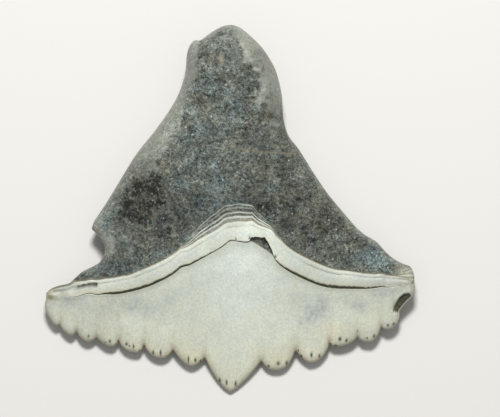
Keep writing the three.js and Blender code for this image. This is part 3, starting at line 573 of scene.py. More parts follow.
# The place at path p of each section: p is 0 on the ledge, negative on a straight line to the
# margin, positive on a curve of second degree to the rim, measured evenly up the tooth.
def placeOnPath(lines, p):
    down = np.clip(-p / lines["crown"], 0, 1)
    share = np.clip(p / lines["root"], 0, 1)
    up = (1.1 - np.sqrt(1.21 - 0.4 * share)) / 0.2
    place = []
    for axis in (0, 1):
        margin, ledge, bend, rim = (lines[k][axis] for k in ("margin", "ledge", "bend", "rim"))
        onCrown = ledge + down * (margin - ledge)
        onRoot = (1 - up) ** 2 * ledge + 2 * up * (1 - up) * bend + up**2 * rim
        place.append(np.where(p < 0, onCrown, onRoot))
    return place


# One row of the surface: its path p, its side (+1 face, -1 back, 0 edge), the rise over the
# smooth face, how much enamel shows, and how dark it is.
def oneRow(lines, p, side, rise=0.0, enamel=1.0, dark=0.0):
    full = np.zeros_like(lines["station"])
    return [full + p, side, full + rise, full + enamel, full + dark]


# Rows from the margin over the crown's face to the slit.
def crownRows(lines):
    crown, scale = lines["crown"], lines["crownScale"]
    rows = [oneRow(lines, -crown, 0)]
    rows += [oneRow(lines, -crown + step * scale, 1) for step in rowSteps["margin"]]
    start = -crown + rowSteps["margin"][-1] * scale
    end = -(0.5 * lines["slit"] + 0.035) * scale
    for part in np.linspace(0, 1, toothForm["crownRows"] + 1)[1:]:
        rows.append(oneRow(lines, start + part * (end - start), 1))
    return rows


# Rows through the slit: its lower lip, its floor, and the ledge's edge over it, darkened as
# painted shade under the ledge. Where the flake is missing, bitten is 1 and they cross its
# bare floor instead.
def slitRows(lines):
    half, small, rootScale = 0.5 * lines["slit"], lines["small"], lines["rootScale"]
    bitten, whole, isOpen = lines["bitten"], 1 - lines["bitten"], lines["open"]
    depth = slitForm["depth"] * isOpen
    slitFloorShade = slitForm["slitFloorShade"] * isOpen
    flakeRise = -slitForm["flakeDepth"] + uneven("flakeFloor", *lines["along"])
    rows = [
        oneRow(lines, -(half + 0.01) * small, 1),
        oneRow(lines, -half * small, 1, -0.5 * depth * whole,
               dark=slitForm["lowerLipShade"] * isOpen * whole),
        oneRow(lines, -0.8 * half * small, 1, -depth * whole - 0.02 * bitten, whole,
               slitFloorShade * (1 - 0.7 * bitten)),
    ]
    for part in (0.0, 0.3, 0.6, 0.92):
        rows.append(oneRow(lines, 0.5 * half * small + part * lines["bite"] * rootScale, 1,
                           -depth * whole + flakeRise * bitten, whole,
                           slitFloorShade * whole + (0.3 + 0.25 * part) * bitten))
    ledgeEdgeShade = np.maximum(slitForm["upperEdgeShade"] * isOpen, bitten)
    for step, share, dark in ((0, 0.2, ledgeEdgeShade), (0.006, 0.75, 0.15 * isOpen),
                              (0.03, 0.95, 0), (0.08, 1, 0)):
        rows.append(oneRow(lines, lines["edge"] + step * rootScale, 1,
                           share * lines["edgeRise"], dark=dark))
    return rows


# Rows over the band, which rises evenly from its lower to its upper edge, with a bulge and a
# seam that shows here and there.
def bandRows(lines):
    width = lines["bandTop"] - lines["bandStart"]
    climb = lines["topRise"] - lines["edgeRise"]
    broken = np.clip(0.3 + uneven("seam", *lines["along"]), 0, 1)
    broken = broken * smoothStep(8.8, 7.8, np.abs(lines["ledge"][0]))
    return [oneRow(lines, lines["bandStart"] + part * width, 1,
                   lines["edgeRise"] + part * climb + bulge, dark=seam * broken)
            for part, bulge, seam in bandProfile]


# Rows over the worn edges of the layers, which waver along the ledge. Where the ridges are
# narrow, at the wings, the enamel only fades out.
def layerRows(lines):
    ledgeX, level = lines["along"]
    bold = np.clip((lines["ridges"] - 0.1) / 0.3, 0, 1)
    bandHeight = lines["topRise"] + bandProfile[-1][1]
    rows = []
    for place, share, enamel, dark in ridgeProfile:
        waver = bold * uneven("layerWaver", ledgeX, level + 9 * place)
        glow = 0.8 + uneven("layerGlow", ledgeX, level + 5 * place)
        shown = np.clip(enamel * glow, 0, 1) * bold + np.clip(0.8 - place, 0, 1) * (1 - bold)
        p = lines["bandTop"] + place * lines["ridges"] * lines["rootScale"] + waver
        rows.append(oneRow(lines, p, 1, bandHeight * share, shown, dark * bold))
    return rows


# Rows up the root's face, round its rim and a little way down its back.
def rootRows(lines):
    scale, root = lines["rootScale"], lines["root"]
    start = lines["bandTop"] + 1.12 * lines["ridges"] * scale
    rows = [oneRow(lines, start + part * (lines["faceEnd"] - start), 1, 0, 0)
            for part in np.linspace(0, 1, toothForm["rootRows"])]
    rows += [oneRow(lines, root - step * scale, 1, 0, 0) for step in rowSteps["rim"]]
    rows.append(oneRow(lines, root, 0, 0, 0))
    return rows + [oneRow(lines, root - step * scale, -1, 0, 0) for step in rowSteps["rimBack"]]


# Rows down the back: the root, a low ledge a little way down the crown, darkened at its step
# with painted shade, and the crown's back, level with that ledge, to the margin.
def backRows(lines):
    scale, crown, ledgeHeight = lines["crownScale"], lines["crown"], toothForm["backLedge"]
    ledge = -0.28 * (crown - 1.52 * scale) - 0.12 * scale
    enamelEnd = ledge + 0.8 * np.minimum(1, (lines["faceEnd"] - ledge) / 1.6)
    rows = [oneRow(lines, enamelEnd + part * (lines["faceEnd"] - enamelEnd), -1, 0, 0)
            for part in np.linspace(1, 0, toothForm["rootBackRows"] + 1)[1:]]
    for part, height, enamel in ((0.8, 0.0, 0.2), (0.6, -0.04, 0.5), (0.4, -0.05, 0.8),
                                 (0.15, -0.06, 1)):
        rows.append(oneRow(lines, ledge + part * (enamelEnd - ledge), -1, height, enamel))
    for step, height, dark in ((0.02, -0.04, 0.3), (-0.01, 0.07, 0.5), (-0.06, ledgeHeight, 0.1)):
        rows.append(oneRow(lines, ledge + step * scale, -1, height, dark=dark))
    inner = -crown + rowSteps["margin"][-1] * scale
    below = ledge - 0.06 * scale
    for part in np.linspace(1, 0, toothForm["crownBackRows"] + 1)[1:]:
        rows.append(oneRow(lines, inner + part * (below - inner), -1, ledgeHeight))
    return rows + [oneRow(lines, -crown + step * scale, -1, ledgeHeight * step)
                   for step in rowSteps["marginBack"]]


# How far the face is let down by the notches: a narrow crease running up from each one and a
# wide hollow round it, as shares of the half thickness.
def notchShare(x, v):
    crease, hollow = np.zeros_like(x), np.zeros_like(x)
    for notchX, notchV in [cusp["notch"] for cusp in cuspForm if cusp["notch"]]:
        up = np.maximum(v - notchV, 0)
        across = np.abs(x - notchX)
        crease = np.maximum(crease, np.exp(-(across / (0.07 + 0.08 * up)) ** 2 - up / 0.5))
        hollow = np.maximum(hollow, np.exp(-(across / 0.3) ** 2 - up / 0.8))
    return toothForm["creaseDepth"] * crease + toothForm["notchDepth"] * hollow


# Smooth skin along the root's sides: a strip of listed width, with a wandering inner edge.
def skinCover(lines, at):
    x, v = at["x"], at["v"]
    wander = 1 + uneven("skinBroad", x, v) + uneven("skinFine", x, v)
    return smoothStep(0.3, -0.2, at["inward"] - widthAt(skinWidth, lines["station"]) * wander)


# What is found at every place of the surface, most of it from 0 to 1: which part it belongs
# to, the skin, the dark patches and lines, the pits, the wing's hollow and its split layers.
def findPlaces(lines, p, side):
    x, v = placeOnPath(lines, p)
    outline = list(zip(*lines["margin"])) + [toothForm["rightEnd"]]
    outline += list(zip(*lines["rim"]))[::-1] + [toothForm["leftEnd"]]
    inward = np.where(side == 0, 0, outlineDistance(outline, x, v))
    onFace = side > 0
    past = p - lines["bandEnd"] - lines["ridges"] * lines["rootScale"]
    at = {"p": p, "side": side, "x": x, "v": v, "inward": inward, "onFace": onFace,
          "onCrown": p < 0, "onRoot": (p >= 0) * np.clip(past / 0.4, 0, 1),
          "belowRoot": past < 0, "darkLines": strokes("dark", x, v)}
    at["skin"] = skinCover(lines, at) * at["onRoot"] * onFace
    at["dim"] = np.clip(stains("dim", x, v), 0, 1) * at["onRoot"] * onFace

    pore = np.zeros_like(x)
    for cx, cv, across, along in damageForm["pores"]:
        pore += np.exp(-((((x - cx) / across) ** 2 + ((v - cv) / along) ** 2) ** 1.5))
    at["pore"] = np.clip(pore, 0, 1) * onFace * (p < lines["band"])
    at["chip"] = smoothStep(-0.03, 0.05, depthInPolygon(damageForm["wingChip"], x, v)) * onFace
    layers = smoothStep(8.95, 9.5, x) * smoothStep(-3.2, -3.32, v + 0.3 * (x - 9.6) ** 2)
    upBand = p / np.maximum(lines["bandEnd"], 0.02)
    at["layers"] = layers * onFace * smoothStep(0.5, 0.9, upBand)
    fan = 0.25 + 0.75 * np.clip(x - 8.9, 0, 1)
    at["split"] = 0.5 + 0.5 * np.sin((v + 3.72) / fan * damageForm["splitCloseness"])
    return at


# Small relief: soft hills on the crown, lumps and rough ground on the root, smoother under
# its skin, less the dark patches, the pits and the wing's hollow, and the wing's split layers.
def reliefAt(at):
    x, v, onFace, onRoot, skin = (at[k] for k in ("x", "v", "onFace", "onRoot", "skin"))
    relief = at["onCrown"] * (uneven("crownBroad", x, v) + uneven("crownFine", x, v))
    ground = sum(lift * np.exp(-((x - cx) ** 2 + (v - cv) ** 2) / size**2)
                 for cx, cv, size, lift in rootRelief)
    rough = uneven("rootBroad", x, v) + uneven("rootMiddle", x, v) + uneven("rootFine", x, v)
    rough = rough * (1 - toothForm["skinEvening"] * skin)
    relief += onRoot * (ground * onFace + rough + toothForm["skinRise"] * skin)
    sunk = damageForm["patchDepth"] * at["dim"] + damageForm["lineDepth"] * at["darkLines"]
    relief -= onRoot * onFace * sunk
    relief -= damageForm["poreDepth"] * at["pore"]
    relief -= damageForm["wingChipDepth"] * at["chip"] * (1 + uneven("chipFloor", x, v))
    return relief + damageForm["splitHeight"] * at["layers"] * at["split"]


# Height of the surface: half the thickness over or under a middle sheet, drawn in to it along
# an edge rounded as (1 - (1 - distance / radius)^2.2)^(1 / 2.2), plus the rise and the relief.
def heightAt(lines, at, rise):
    x, v, p, inward = at["x"], at["v"], at["p"], at["inward"]
    thickness = thicknessAt(x, v)
    cuspRadius = np.clip(0.25 + 0.25 * thickness, 0.36, 1)
    rimRadius = np.clip(0.42 * thickness, 0.16, 1) * (1 - 0.5 * smoothStep(8.3, 9.4, np.abs(x)))
    radius = cuspRadius + smoothStep(-0.25, 0.25, p) * (rimRadius - cuspRadius)
    power = toothForm["edgePower"]
    swell = (1 - (1 - np.clip(inward / radius, 0, 1)) ** power) ** (1 / power)
    letDown = np.where(at["onFace"], 1, 0.4) * notchShare(x, v) * (p + lines["crown"] < 3)
    half = swell * (1 - letDown) * thickness / 2
    relief = reliefAt(at)
    height = np.where(at["side"] < 0, -0.6 * relief, relief) + rise
    fade = np.clip(inward / 0.35, 0, 1)
    return faceHeight(x, v) - thickness / 2 + at["side"] * half + height * fade


# How strongly things show in the marks. The lights are added to a place's tone of 1, but
# wingLight is the least tone that the ridges and the split layers have at the wings. The
# slit's darkening paints the ledge's shadow with a grimy tint, the layers' dimming paints
# shade between them, and the slit's light is painted light on its shadowed floor.
markForm = {
    "poreDark": 1.05, "chipDark": 1.1, "lineDark": 1.3, "layerShade": 0.6, "slitShadeAndGrime": 0.75,
    "cuspStrip": 0.1, "flakeLight": -0.12, "splitLight": -0.25, "slitLight": 0.7, "wingLight": 0.85,
    "bandTopWarmth": 0.6, "tipWarmth": 0.8, "paleLine": 0.45,
    "wornAndReflectedWidth": 0.07,         # mm
    # share of the edges' brown, wear together with the table's painted reflection, on the wings
    "wingWearAndReflection": 0.35,          # wear of the wings' edges over the ledge
}


# How much light each place gives back, 1 being the finish's own: a paler strip over the cusps,
# the shine and shade stains, the band's light with its painted highlight, the darker floor of
# the missing flake and split layers, and painted light that lifts the slit's shadowed floor.
def toneAt(lines, at):
    x, v, p, onCrown = at["x"], at["v"], at["p"], at["onCrown"]
    strip = smoothStep(2.8, 1.4, p + lines["crown"]) * smoothStep(7.0, 5.8, np.abs(x))
    onTone = onCrown * (markForm["cuspStrip"] * strip - stains("shine", x, v))
    onTone -= ~onCrown * stains("shade", x, v)
    wingLight = markForm["wingLight"]
    light = np.where(p < lines["bandEnd"], lines["light"], np.maximum(lines["light"], wingLight))
    light = light + at["layers"] * np.maximum(0, wingLight - light)
    overFlake = p > 0.5 * lines["slit"] + lines["bite"] * lines["rootScale"]
    inSlit = (p > -0.5 * lines["slit"]) & ~overFlake & (lines["bite"] < 0.05)
    onTone += at["belowRoot"] * np.where(overFlake, light - 1, (p > 0) * markForm["flakeLight"])
    return (1 + at["onFace"] * onTone + markForm["splitLight"] * at["layers"]
            + markForm["slitLight"] * inSlit)


# Stains and wear: cool grey, warm ochre, pale ground with a painted glint, worn edges whose
# brown is partly wear and partly the table's painted reflection, and the cusps' tips. A place
# may be less cool than the clouds alone would make it, so cool goes down to -1.
def stainMarks(lines, at):
    x, v, p = at["x"], at["v"], at["p"]
    onEnamel = p < lines["bandEnd"] + 0.02
    bandLow = np.exp(-((p - 0.5 * lines["slit"] - lines["bite"] - 0.08) / 0.1) ** 2)
    bandLow = bandLow * (p > 0) * onEnamel * np.clip(0.75 + uneven("bandStain", x, v), 0, 1)
    bandTop = np.exp(-((p - lines["bandEnd"] - 0.03) / 0.06) ** 2)
    bandLine = np.exp(-((p - lines["bandEnd"] + 0.07) / 0.04) ** 2)
    tips = np.exp(-((p + lines["crown"]) / 1.3)) * onEnamel
    bandWarmth = 0.35 + 0.4 * smoothStep(0.5, 2.5, np.abs(x))
    marks = {
        "wornAndReflected": np.exp(-((at["inward"] / markForm["wornAndReflectedWidth"]) ** 1.5)) * onEnamel
                * np.where(p < 0, 1, markForm["wingWearAndReflection"]),
        "tips": tips,
        "warm": stains("warm", x, v) + strokes("warm", x, v) + bandWarmth * bandLow
                + markForm["bandTopWarmth"] * bandTop
                + markForm["tipWarmth"] * tips * np.exp(-((x / 11) ** 4)),
        "cool": stains("cool", x, v) * (0.75 + uneven("coolStain", x, v)),
        "pale": stains("pale", x, v) + strokes("pale", x, v)
                + markForm["paleLine"] * bandLine * smoothStep(8.5, 7.5, np.abs(x)),
    }
    lowest = {"cool": -1}
    return {name: np.clip(value * at["onFace"], lowest.get(name, 0), 1)
            for name, value in marks.items()}


# All that the finish needs to know at every place, by name.
def marksAt(lines, at, enamel, dark):
    p, onFace, layers = at["p"], at["onFace"], at["layers"]
    wide = np.clip(lines["slit"] / 0.12, 0, 1)
    # painted shade of the ledge along the slit, in the grime colour
    slitShadeAndGrime = markForm["slitShadeAndGrime"] * wide * np.exp(-((p / 0.11) ** 2))
    darker = (markForm["poreDark"] * at["pore"]
              + markForm["chipDark"] * at["chip"] * smoothStep(0.06, 0.12, at["inward"])
              + markForm["lineDark"] * at["darkLines"] * onFace)
    # painted shade between the layers and on the missing flake's floor, where root shows under less
    # enamel
    shadeBetweenLayers = np.where((p > 0) & at["belowRoot"], 1 - enamel, 0) * onFace
    return {
        "enamel": np.clip(np.maximum(enamel, layers * (0.3 + 0.7 * at["split"])), 0, 1),
        "dark": np.clip(dark + darker, 0, 1),
        "skin": at["skin"],
        "dim": np.maximum(at["dim"], markForm["layerShade"] * shadeBetweenLayers),
        "grimeAndShade": np.clip((stains("grimeAndShade", at["x"], at["v"]) + slitShadeAndGrime) * onFace, 0, 1),
        "tone": toneAt(lines, at),
        **stainMarks(lines, at),
    }


# The whole surface as a grid of rows round the tooth by columns across it: its places, its
# heights, and the marks for the finish.
def toothSurface():
    lines = sectionLines(spreadStations(toothForm["columns"]))
    rows = []
    for makeRows in (crownRows, slitRows, bandRows, layerRows, rootRows, backRows):
        rows += makeRows(lines)
    p, rise, enamel, dark = (np.array([row[k] for row in rows]) for k in (0, 2, 3, 4))
    side = np.array([row[1] for row in rows], float)[:, None]
    at = findPlaces(lines, p, side)
    return at["x"], at["v"], heightAt(lines, at, rise), marksAt(lines, at, enamel, dark)


# Turns a place on the face into its place as the tooth lies, in mm, flat where it would sink
# into the table.
def laidDown(x, v, w):
    lean = math.radians(toothForm["faceLean"])
    y = v * math.cos(lean) - w * math.sin(lean)
    z = toothForm["restHeight"] + v * math.sin(lean) + w * math.cos(lean)
    return np.stack([x, y, np.maximum(z, 0)], axis=-1)


# The grid's points and the two wing ends in metres, and how far they were moved so that their
# middle is over the middle of the CAD box.
def placedPoints(x, v, w):
    ends = []
    for endX, endV in (toothForm["leftEnd"], toothForm["rightEnd"]):
        ex, ev = np.array([endX]), np.array([endV])
        ends.append(laidDown(ex, ev, faceHeight(ex, ev) - thicknessAt(ex, ev) / 2)[0])
    points = np.concatenate([laidDown(x, v, w).reshape(-1, 3), np.array(ends)])
    middle = (points.min(0) + points.max(0)) / 2
    cadLow, cadHigh = (np.array(corner) for corner in cadBox)
    shift = (cadLow + cadHigh) / 2 - middle * millimetre
    shift[2] = 0
    return points * millimetre + shift, shift


# Faces of the closed mesh: the grid is joined into a tube round the tooth, whose ends are
# drawn to the two last points. Gives the corners one after another, and each face's count.
def tubeFaces(rowCount, columnCount):
    row, column = np.meshgrid(np.arange(rowCount), np.arange(columnCount - 1), indexing="ij")
    here, above = row * columnCount + column, (row + 1) % rowCount * columnCount + column
    quads = np.stack([here, here + 1, above + 1, above], axis=-1)
    first = np.arange(rowCount) * columnCount
    nextFirst = np.roll(first, -1)
    last, nextLast = first + columnCount - 1, nextFirst + columnCount - 1
    leftEnd = np.full(rowCount, rowCount * columnCount)
    leftFan = np.stack([leftEnd, first, nextFirst], axis=-1)
    rightFan = np.stack([leftEnd + 1, nextLast, last], axis=-1)
    corners = np.concatenate([quads.ravel(), leftFan.ravel(), rightFan.ravel()])
    return corners, np.repeat([4, 3], [row.size, 2 * rowCount])


# Map for baked textures: across by column, up by row, cut open along the margin.
def addBakeMap(mesh, rowCount, columnCount):
    j, i = np.meshgrid(np.arange(rowCount), np.arange(columnCount - 1), indexing="ij")
    j, i = j.ravel(), i.ravel()
    edge = 0.01   # width of the strip that holds each wing's fan
    u = np.stack([i, i + 1, i + 1, i], axis=-1) / (columnCount - 1) * (1 - 2 * edge) + edge
    v = np.stack([j, j, j + 1, j + 1], axis=-1) / rowCount
    row = np.arange(rowCount)
    zero = row * 0.0
    leftU, leftV = np.stack([zero, zero + edge, zero + edge]), np.stack([row + 0.5, row, row + 1])
    rightU, rightV = 1 - leftU, np.stack([row + 0.5, row + 1, row])
    allU = np.concatenate([u.ravel(), leftU.T.ravel(), rightU.T.ravel()])
    allV = np.concatenate([v.ravel(), leftV.T.ravel() / rowCount, rightV.T.ravel() / rowCount])
    layer = mesh.uv_layers.new(name="OFBake")
    layer.data.foreach_set("uv", np.stack([allU, allV], axis=-1).ravel())


# Makes the tooth's object and says how far its points were moved.
def makeTooth():
    x, v, w, marks = toothSurface()
    points, shift = placedPoints(x, v, w)
    corners, counts = tubeFaces(*x.shape)
    mesh = bpy.data.meshes.new("toothSurface")
    mesh.vertices.add(len(points))
    mesh.vertices.foreach_set("co", points.ravel())
    mesh.loops.add(len(corners))
    mesh.loops.foreach_set("vertex_index", corners)
    mesh.polygons.add(len(counts))
    mesh.polygons.foreach_set("loop_start", np.cumsum(counts) - counts)
    mesh.polygons.foreach_set("use_smooth", np.ones(len(counts), bool))
    for name, value in marks.items():
        layer = mesh.attributes.new(name, "FLOAT", "POINT")
        layer.data.foreach_set("value", np.concatenate([value.ravel(), value[0, [0, -1]]]))
    addBakeMap(mesh, *x.shape)
    mesh.update(calc_edges=True)
    mesh.validate()
    tooth = bpy.data.objects.new("toothFine", mesh)
    bpy.context.scene.collection.objects.link(tooth)
    return tooth, shift


# Colours of the tooth, as light reflected by red, green and blue.
toothFinish = {
    "enamel": (0.515, 0.545, 0.46),
    "enamelCool": (0.36, 0.4, 0.385),
    "enamelWarm": (0.56, 0.53, 0.365),
    "enamelPale": (0.625, 0.67, 0.6),
    # brown of worn edges together with the table's painted reflection
    "wornAndReflectedEdge": (0.36, 0.25, 0.17),
    # grime colour, also used for the ledge's painted shade along the slit
    "grimeAndShade": (0.2, 0.2, 0.12),
    # dark of hollows, pits and the slit, partly painted shade in them
    "hollow": (0.045, 0.042, 0.024),
    "hollowPale": (0.125, 0.118, 0.085),
    "root": (0.115, 0.117, 0.091),
    "rootDeep": (0.014, 0.016, 0.011),
    "rootPale": (0.28, 0.305, 0.27),
    "rootSkin": (0.225, 0.238, 0.195),
    "rootCool": (0.122, 0.157, 0.152),
    "speck": (0.5, 0.52, 0.47),
    "ochre": (0.33, 0.28, 0.18),
    "rootContrast": 5.0,       # of the root's coarse grain
    "skinContrast": 2.25,      # of the same grain under the skin
    "speckSpacing": 0.2,       # mm
    "roughness": (0.72, 0.42), # of the root and of smooth enamel, as is the gloss
    "gloss": (0.2, 0.5),
    "refraction": 1.55,
    "bumpStrength": 0.8,
    "bumpHeight": 0.06,        # mm
}

# Grains of the colours and the bump: size in mm, how many finer sizes are added to it, how
# strong those are, and the scale along x, y and z where a grain is drawn out.
grainForm = {
    "enamelClouds": (0.9, 3.0, 0.6, None),
    "enamelBroad": (2.2, 2.0, 0.6, None),
    "enamelPatches": (0.3, 3.0, 0.7, None),
    "enamelFine": (0.12, 2.0, 0.8, None),
    "cuspLines": (0.09, 2.0, 0.6, (1, 0.15, 0.15)),
    "enamelBump": (0.2, 3.0, 0.6, (1, 0.2, 0.2)),
    "rootClouds": (1.2, 4.0, 0.7, None),
    "rootCoarse": (0.7, 6.0, 0.9, None),
    "rootHollows": (0.3, 4.0, 0.8, None),
    "rootMiddle": (0.16, 2.0, 0.7, None),
    "rootFine": (0.07, 1.0, 0.7, None),
    "bareGrains": (0.13, 1.0, 0.5, None),
}


# Adds a node, sets its plain values and gives it back.
def addNode(tree, kind, **settings):
    node = tree.nodes.new(kind)
    for name, value in settings.items():
        if hasattr(node, name):
            setattr(node, name, value)
        else:
            node.inputs[name].default_value = value
    return node


# Links a socket to an input, or sets the input to a plain value or colour.
def feed(tree, value, socket):
    if isinstance(value, bpy.types.NodeSocket):
        tree.links.new(value, socket)
    elif isinstance(value, tuple):
        socket.default_value = (*value, 1)
    else:
        socket.default_value = value


# One of the marks that the mesh carries.
def mark(tree, name):
    return addNode(tree, "ShaderNodeAttribute", attribute_name=name).outputs["Fac"]


# Mixes two colours by an amount, or multiplies them with blend set to MULTIPLY.
def mixColour(tree, amount, first, second, blend="MIX"):
    node = addNode(tree, "ShaderNodeMix", data_type="RGBA", blend_type=blend)
    for value, number in ((amount, 0), (first, 6), (second, 7)):
        feed(tree, value, node.inputs[number])
    return node.outputs[2]


# One sum on numbers, by the name of its operation.
def calculate(tree, operation, *values, clamp=False):
    node = addNode(tree, "ShaderNodeMath", operation=operation, use_clamp=clamp)
    for value, socket in zip(values, node.inputs):
        feed(tree, value, socket)
    return node.outputs[0]


def times(tree, first, second):
    return calculate(tree, "MULTIPLY", first, second)


def plus(tree, first, second, clamp=False):
    return calculate(tree, "ADD", first, second, clamp=clamp)


# One of the grains on object coordinates.
def grain(tree, coordinates, name):
    size, detail, roughness, stretch = grainForm[name]
    if stretch:
        mapping = addNode(tree, "ShaderNodeMapping", Scale=stretch)
        tree.links.new(coordinates, mapping.inputs["Vector"])
        coordinates = mapping.outputs["Vector"]
    node = addNode(tree, "ShaderNodeTexNoise", Scale=1 / (size * millimetre), Detail=detail,
                   Roughness=roughness)
    tree.links.new(coordinates, node.inputs["Vector"])
    return node.outputs["Fac"]


# Runs evenly from outLow to outHigh as the value goes from low to high, and no further.
def remap(tree, value, low, high, outLow=0.0, outHigh=1.0):
    node = addNode(tree, "ShaderNodeMapRange")
    tree.links.new(value, node.inputs["Value"])
    for name, number in (("From Min", low), ("From Max", high), ("To Min", outLow),
                         ("To Max", outHigh)):
        node.inputs[name].default_value = number
    return node.outputs["Result"]


# Enamel: pale, with faint clouds, grey and ochre stains, and fine lines at the cusps.
def enamelColour(tree, coordinates):
    clouds = grain(tree, coordinates, "enamelClouds")
    colour = mixColour(tree, mark(tree, "pale"), toothFinish["enamel"], toothFinish["enamelPale"])

    cool = plus(tree, mark(tree, "cool"), remap(tree, clouds, 0.42, 0.7, 0, 0.32))
    patches = grain(tree, coordinates, "enamelPatches")
    cool = times(tree, cool, remap(tree, patches, 0.36, 0.6, 0.15, 1.1))   # ragged stains
    colour = mixColour(tree, cool, colour, toothFinish["enamelCool"])
    warm = plus(tree, mark(tree, "warm"), remap(tree, clouds, 0.5, 0.3, 0, 0.25), clamp=True)
    colour = mixColour(tree, times(tree, warm, 0.8), colour, toothFinish["enamelWarm"])

    lines = remap(tree, grain(tree, coordinates, "cuspLines"), 0.35, 0.65, -0.09, 0.04)
    shade = remap(tree, grain(tree, coordinates, "enamelFine"), 0.3, 0.7, 0.87, 1.13)
    shade = plus(tree, shade, times(tree, lines, mark(tree, "tips")))
    broad = remap(tree, grain(tree, coordinates, "enamelBroad"), 0.35, 0.65, -0.06, 0.06)
    colour = mixColour(tree, 1.0, colour, plus(tree, shade, broad), "MULTIPLY")
    # grime with the ledge's painted shade along the slit, then brown edges that are partly wear and
    # partly the table's painted reflection
    colour = mixColour(tree, mark(tree, "grimeAndShade"), colour, toothFinish["grimeAndShade"])
    return mixColour(tree, times(tree, mark(tree, "wornAndReflected"), 0.7), colour, toothFinish["wornAndReflectedEdge"])


# Light and dark of the root: e to the power of contrast times the coarse grain, times two
# finer grains, which show only half under the skin.
def rootShade(tree, coordinates, skin, coarse, middle, fine):
    contrast = remap(tree, skin, 0, 1, toothFinish["rootContrast"], toothFinish["skinContrast"])
    offset = times(tree, calculate(tree, "SUBTRACT", coarse, 0.5), contrast)
    small = times(tree, remap(tree, middle, 0.3, 0.7, 0.3, 1.7),
                  remap(tree, fine, 0.3, 0.7, 0.55, 1.4))
    toEven = calculate(tree, "SUBTRACT", 1.0, small)
    small = calculate(tree, "MULTIPLY_ADD", toEven, times(tree, skin, 0.5), small)
    return times(tree, calculate(tree, "EXPONENT", offset), small)


# Specks on the root: cells of which a few are pale, fewer under the skin, and some are ochre
# in the dark patches. Gives how pale and how ochre each place is.
def rootSpecks(tree, coordinates, skin):
    cells = addNode(tree, "ShaderNodeTexVoronoi",
                    Scale=1 / (toothFinish["speckSpacing"] * millimetre))
    tree.links.new(coordinates, cells.inputs["Vector"])
    chosen = addNode(tree, "ShaderNodeSeparateColor")
    tree.links.new(cells.outputs["Color"], chosen.inputs["Color"])
    spot = remap(tree, cells.outputs["Distance"], 0.3, 0.12)
    often = calculate(tree, "MULTIPLY_ADD", mark(tree, "dim"), 0.08, chosen.outputs["Red"])
    pale = times(tree, spot, remap(tree, often, 0.88, 0.99))
    pale = times(tree, pale, remap(tree, skin, 0, 1, 1, 0.3))
    ochre = times(tree, spot, remap(tree, chosen.outputs["Green"], 0.9, 0.94))
    ochre = times(tree, ochre, remap(tree, mark(tree, "dim"), 0.1, 0.5, 0.15, 0.9))
    return pale, ochre


# Root: blue-grey clouds, an olive skin, grain of all sizes, pale ground, black ragged
# hollows, and specks. Gives the coarse and the fine grain too.
def rootColour(tree, coordinates):
    coarse, middle, fine = (grain(tree, coordinates, name)
                            for name in ("rootCoarse", "rootMiddle", "rootFine"))
    clouds = grain(tree, coordinates, "rootClouds")
    blue = plus(tree, remap(tree, clouds, 0.38, 0.66, 0, 0.7), mark(tree, "cool"), clamp=True)
    colour = mixColour(tree, blue, toothFinish["root"], toothFinish["rootCool"])
    skin = times(tree, mark(tree, "skin"), remap(tree, clouds, 0.66, 0.45, 0.7, 1))
    colour = mixColour(tree, skin, colour, toothFinish["rootSkin"])
    shade = rootShade(tree, coordinates, skin, coarse, middle, fine)
    colour = mixColour(tree, 1.0, colour, shade, "MULTIPLY")
    colour = mixColour(tree, times(tree, mark(tree, "pale"), 0.75), colour, toothFinish["rootPale"])

    dim = times(tree, calculate(tree, "SUBTRACT", mark(tree, "dim"), skin), 0.165)
    depth = plus(tree, grain(tree, coordinates, "rootHollows"), dim)
    depth = times(tree, remap(tree, depth, 0.57, 0.65), remap(tree, middle, 0.52, 0.66, 1, 0.3))
    colour = mixColour(tree, times(tree, depth, 0.92), colour, toothFinish["rootDeep"])
    pale, ochre = rootSpecks(tree, coordinates, skin)
    colour = mixColour(tree, times(tree, pale, 0.8), colour, toothFinish["speck"])
    warm = calculate(tree, "MAXIMUM", times(tree, mark(tree, "warm"), 0.85), ochre)
    return mixColour(tree, warm, colour, toothFinish["ochre"]), coarse, fine


# Hollows, pits and the slit: dark, partly their bare inside and partly painted shade in them,
# mottled, with pale grains where no enamel covers them.
def hollowColour(tree, coordinates, enamel, coarse):
    colour = mixColour(tree, remap(tree, coarse, 0.45, 0.6), toothFinish["hollow"],
                       toothFinish["hollowPale"])
    grains = remap(tree, grain(tree, coordinates, "bareGrains"), 0.5, 0.66, 0, 0.9)
    bare = times(tree, calculate(tree, "SUBTRACT", 1.0, enamel), grains)
    return mixColour(tree, bare, colour, toothFinish["rootPale"])


# Bump: the root's coarse and fine grain, or faint lines where the surface is smooth.
def addBump(tree, shader, coordinates, smooth, coarse, fine):
    enamelBump = times(tree, grain(tree, coordinates, "enamelBump"), 0.12)
    rootBump = plus(tree, coarse, times(tree, fine, 0.5))
    height = addNode(tree, "ShaderNodeMix")
    for value, number in ((smooth, 0), (rootBump, 2), (enamelBump, 3)):
        feed(tree, value, height.inputs[number])
    bump = addNode(tree, "ShaderNodeBump", Strength=toothFinish["bumpStrength"],
                   Distance=toothFinish["bumpHeight"] * millimetre)
    tree.links.new(height.outputs[0], bump.inputs["Height"])
    tree.links.new(bump.outputs["Normal"], shader.inputs["Normal"])


